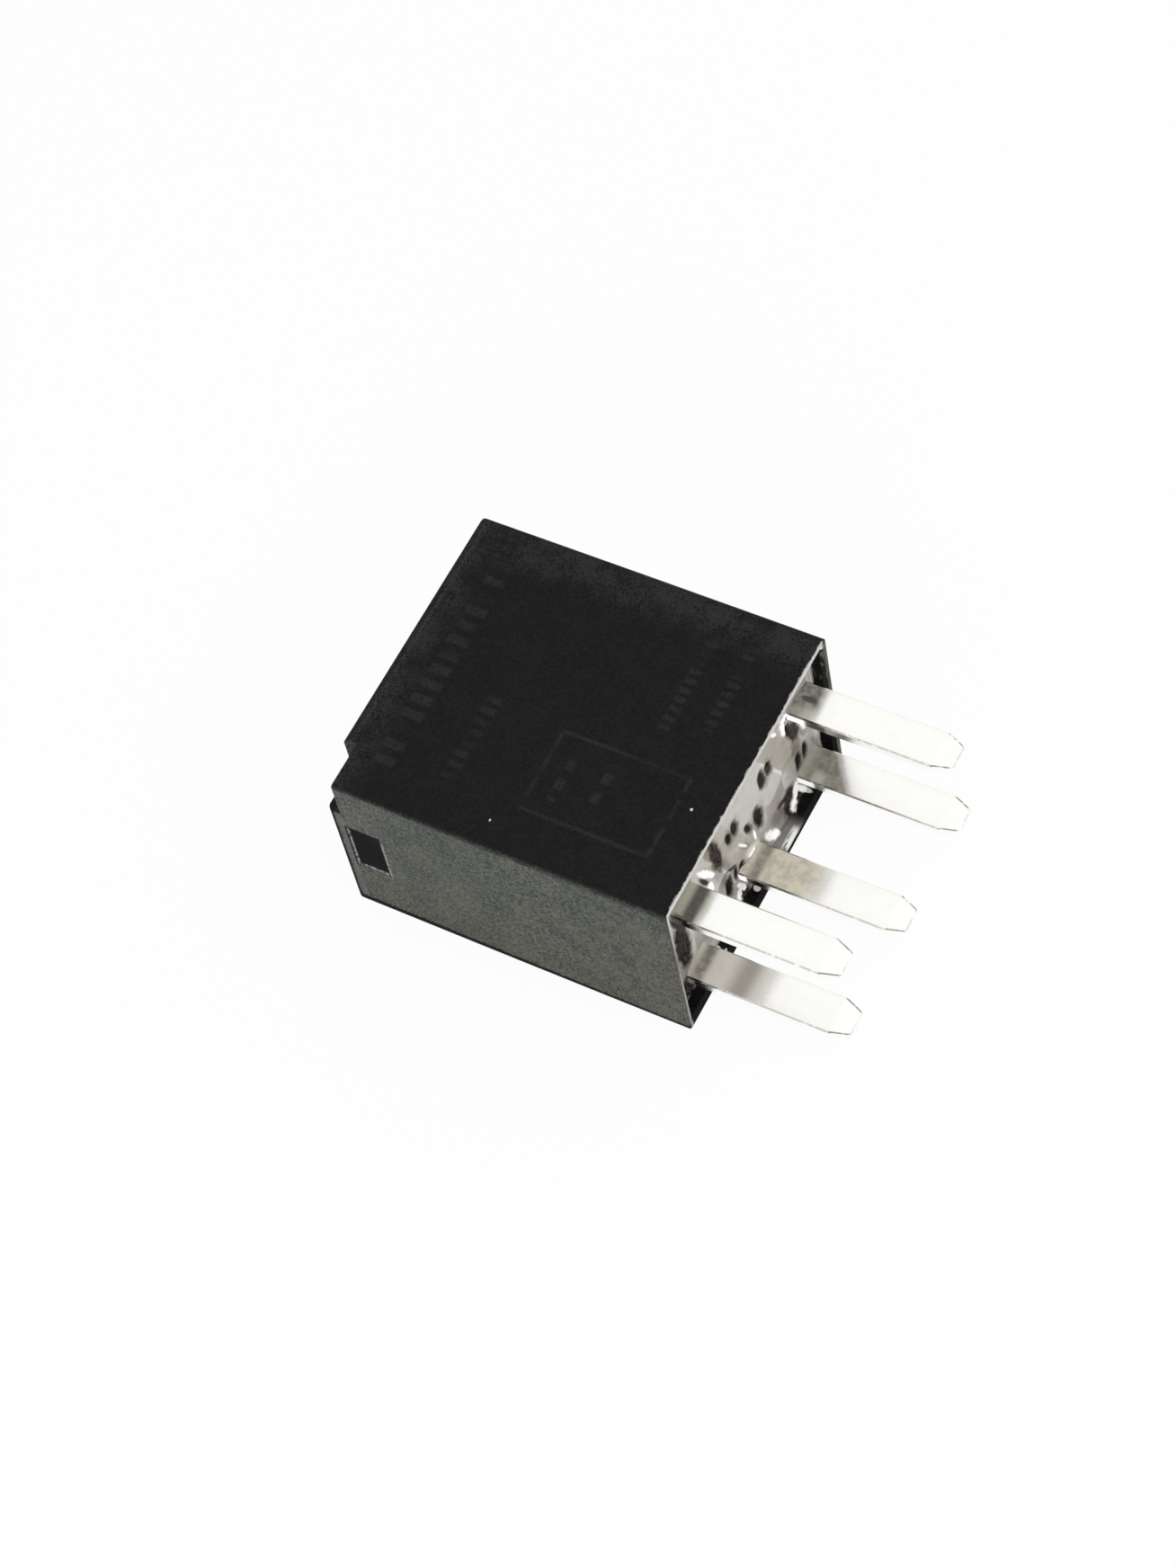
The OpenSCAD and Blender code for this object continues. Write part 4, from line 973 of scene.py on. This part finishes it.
def mottled(name, low, high, scale, roughness, stretch=(1, 1, 1), metallic=0.0, worn=()):
    f = Finish(name, Metallic=metallic)
    share, *broadNumbers = mottleSet["broad"]
    broad = f.at.noise(scale * share, *broadNumbers)
    fine = f.at.noise(scale, *mottleSet["fine"], stretch)
    tone = (broad * 0.5 + fine * 0.5).over(*mottleSet["highStep"])
    f.link(Base_Color=tone.colour(low, high), Roughness=roughness + mottleSet["uneven"] * fine,
           Normal=fine.bump(*mottleSet["bump"]))
    f.wear(*worn)
    return f


# The contact leaf, riveted at its foot to the yoke: the frame's mesh, with doubled points merged and smooth
# shading below a sharp angle
leafSet = {"bendStart": (-7.6, -9.1, 7.4), "bendEnd": (-8.5, -8.25, 7.4), "merge": 0.001, "sharp": 30}


def makeLeaf(finish):
    bm = bmesh.new()
    bm.from_mesh(nodes["contact_spring"].data)
    bmesh.ops.remove_doubles(bm, verts=bm.verts, dist=leafSet["merge"] * mm)
    for edge in bm.edges:
        edge.smooth = edge.calc_face_angle(0.0) < math.radians(leafSet["sharp"])
    for face in bm.faces:
        face.smooth = True
    leaf = finished(bm, "contact_leaf", finish)
    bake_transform(leaf)
    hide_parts("contact_spring")


# Enamelled wire: round turns, with a dark line between them
wireSet = {
    "pitch": {"windingWire": 0.12, "endWire": 0.6},
    "gap": (0.12, 0.1),
    "lustre": (1.2, 3.0, 0.6, (3, 1, 1)),
    "paleStep": (0.5, 0.2),
    "dark": (0.52, 0.20, 0.08),
    "pale": (0.74, 0.33, 0.14),
    "between": (0.16, 0.05, 0.02),
    "roughness": (0.22, 0.2),
    "bump": (0.6, 0.04),
}


def magnetWire(name):
    f = Finish(name, Metallic=0.7, Coat_Weight=0.8, Coat_Roughness=0.12)
    pitch = wireSet["pitch"][name]
    turns = f.x.zigzag(pitch / 2)
    groove = turns.under(*(pitch * share for share in wireSet["gap"]))
    lustre = f.at.noise(*wireSet["lustre"])
    copper = lustre.over(*wireSet["paleStep"]).colour(wireSet["dark"], wireSet["pale"])
    least, more = wireSet["roughness"]
    f.link(Base_Color=groove.colour(copper, wireSet["between"]), Roughness=least + more * lustre,
           Normal=turns.bump(*wireSet["bump"]))
    return f


# Resistor: lacquered body with three plain bands, placed by their share of its length
coatSet = {
    "noise": (5.0, 3.0, 0.6),
    "paleStep": (0.5, 0.2),
    "dark": (0.48, 0.41, 0.29),
    "pale": (0.60, 0.52, 0.38),
    "bands": {0.24: (0.25, 0.09, 0.05), 0.40: (0.03, 0.03, 0.03), 0.56: (0.45, 0.10, 0.06)},
    "bandHalf": (0.045, 0.008),
    "roughness": (0.35, 0.15),
    "bump": (0.15, 0.01),
}


def bandedCoat():
    f = Finish("resistorCoat", Coat_Weight=0.6, Coat_Roughness=0.15)
    low, high = (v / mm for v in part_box("resistor_body"))
    long = max(range(3), key=lambda i: high[i] - low[i])
    along = ((f.x, f.y, f.z)[long] - low[long]) * (1 / (high[long] - low[long]))
    fine = f.at.noise(*coatSet["noise"])
    colour = fine.over(*coatSet["paleStep"]).colour(coatSet["dark"], coatSet["pale"])
    for place, paint in coatSet["bands"].items():
        colour = abs(along - place).under(*coatSet["bandHalf"]).colour(colour, paint)
    least, more = coatSet["roughness"]
    f.link(Base_Color=colour, Roughness=least + more * fine, Normal=fine.bump(*coatSet["bump"]))
    return f


casePlastic().wear("case")
bladeTin().wear(*bladeNodes)
leadTin().wear("resistor_leads")
print("case, blades and leads dressed")
inner = {name: mottled(name, **numbers) for name, numbers in innerSet.items()}
makeLeaf(inner["springBronze"])
magnetWire("windingWire").wear("coil_winding")
magnetWire("endWire").wear("coil_wire_near", "coil_wire_far")
bandedCoat().wear("resistor_body")
print("inner pieces dressed")
makeResin()
print("resin poured, all pieces dressed")
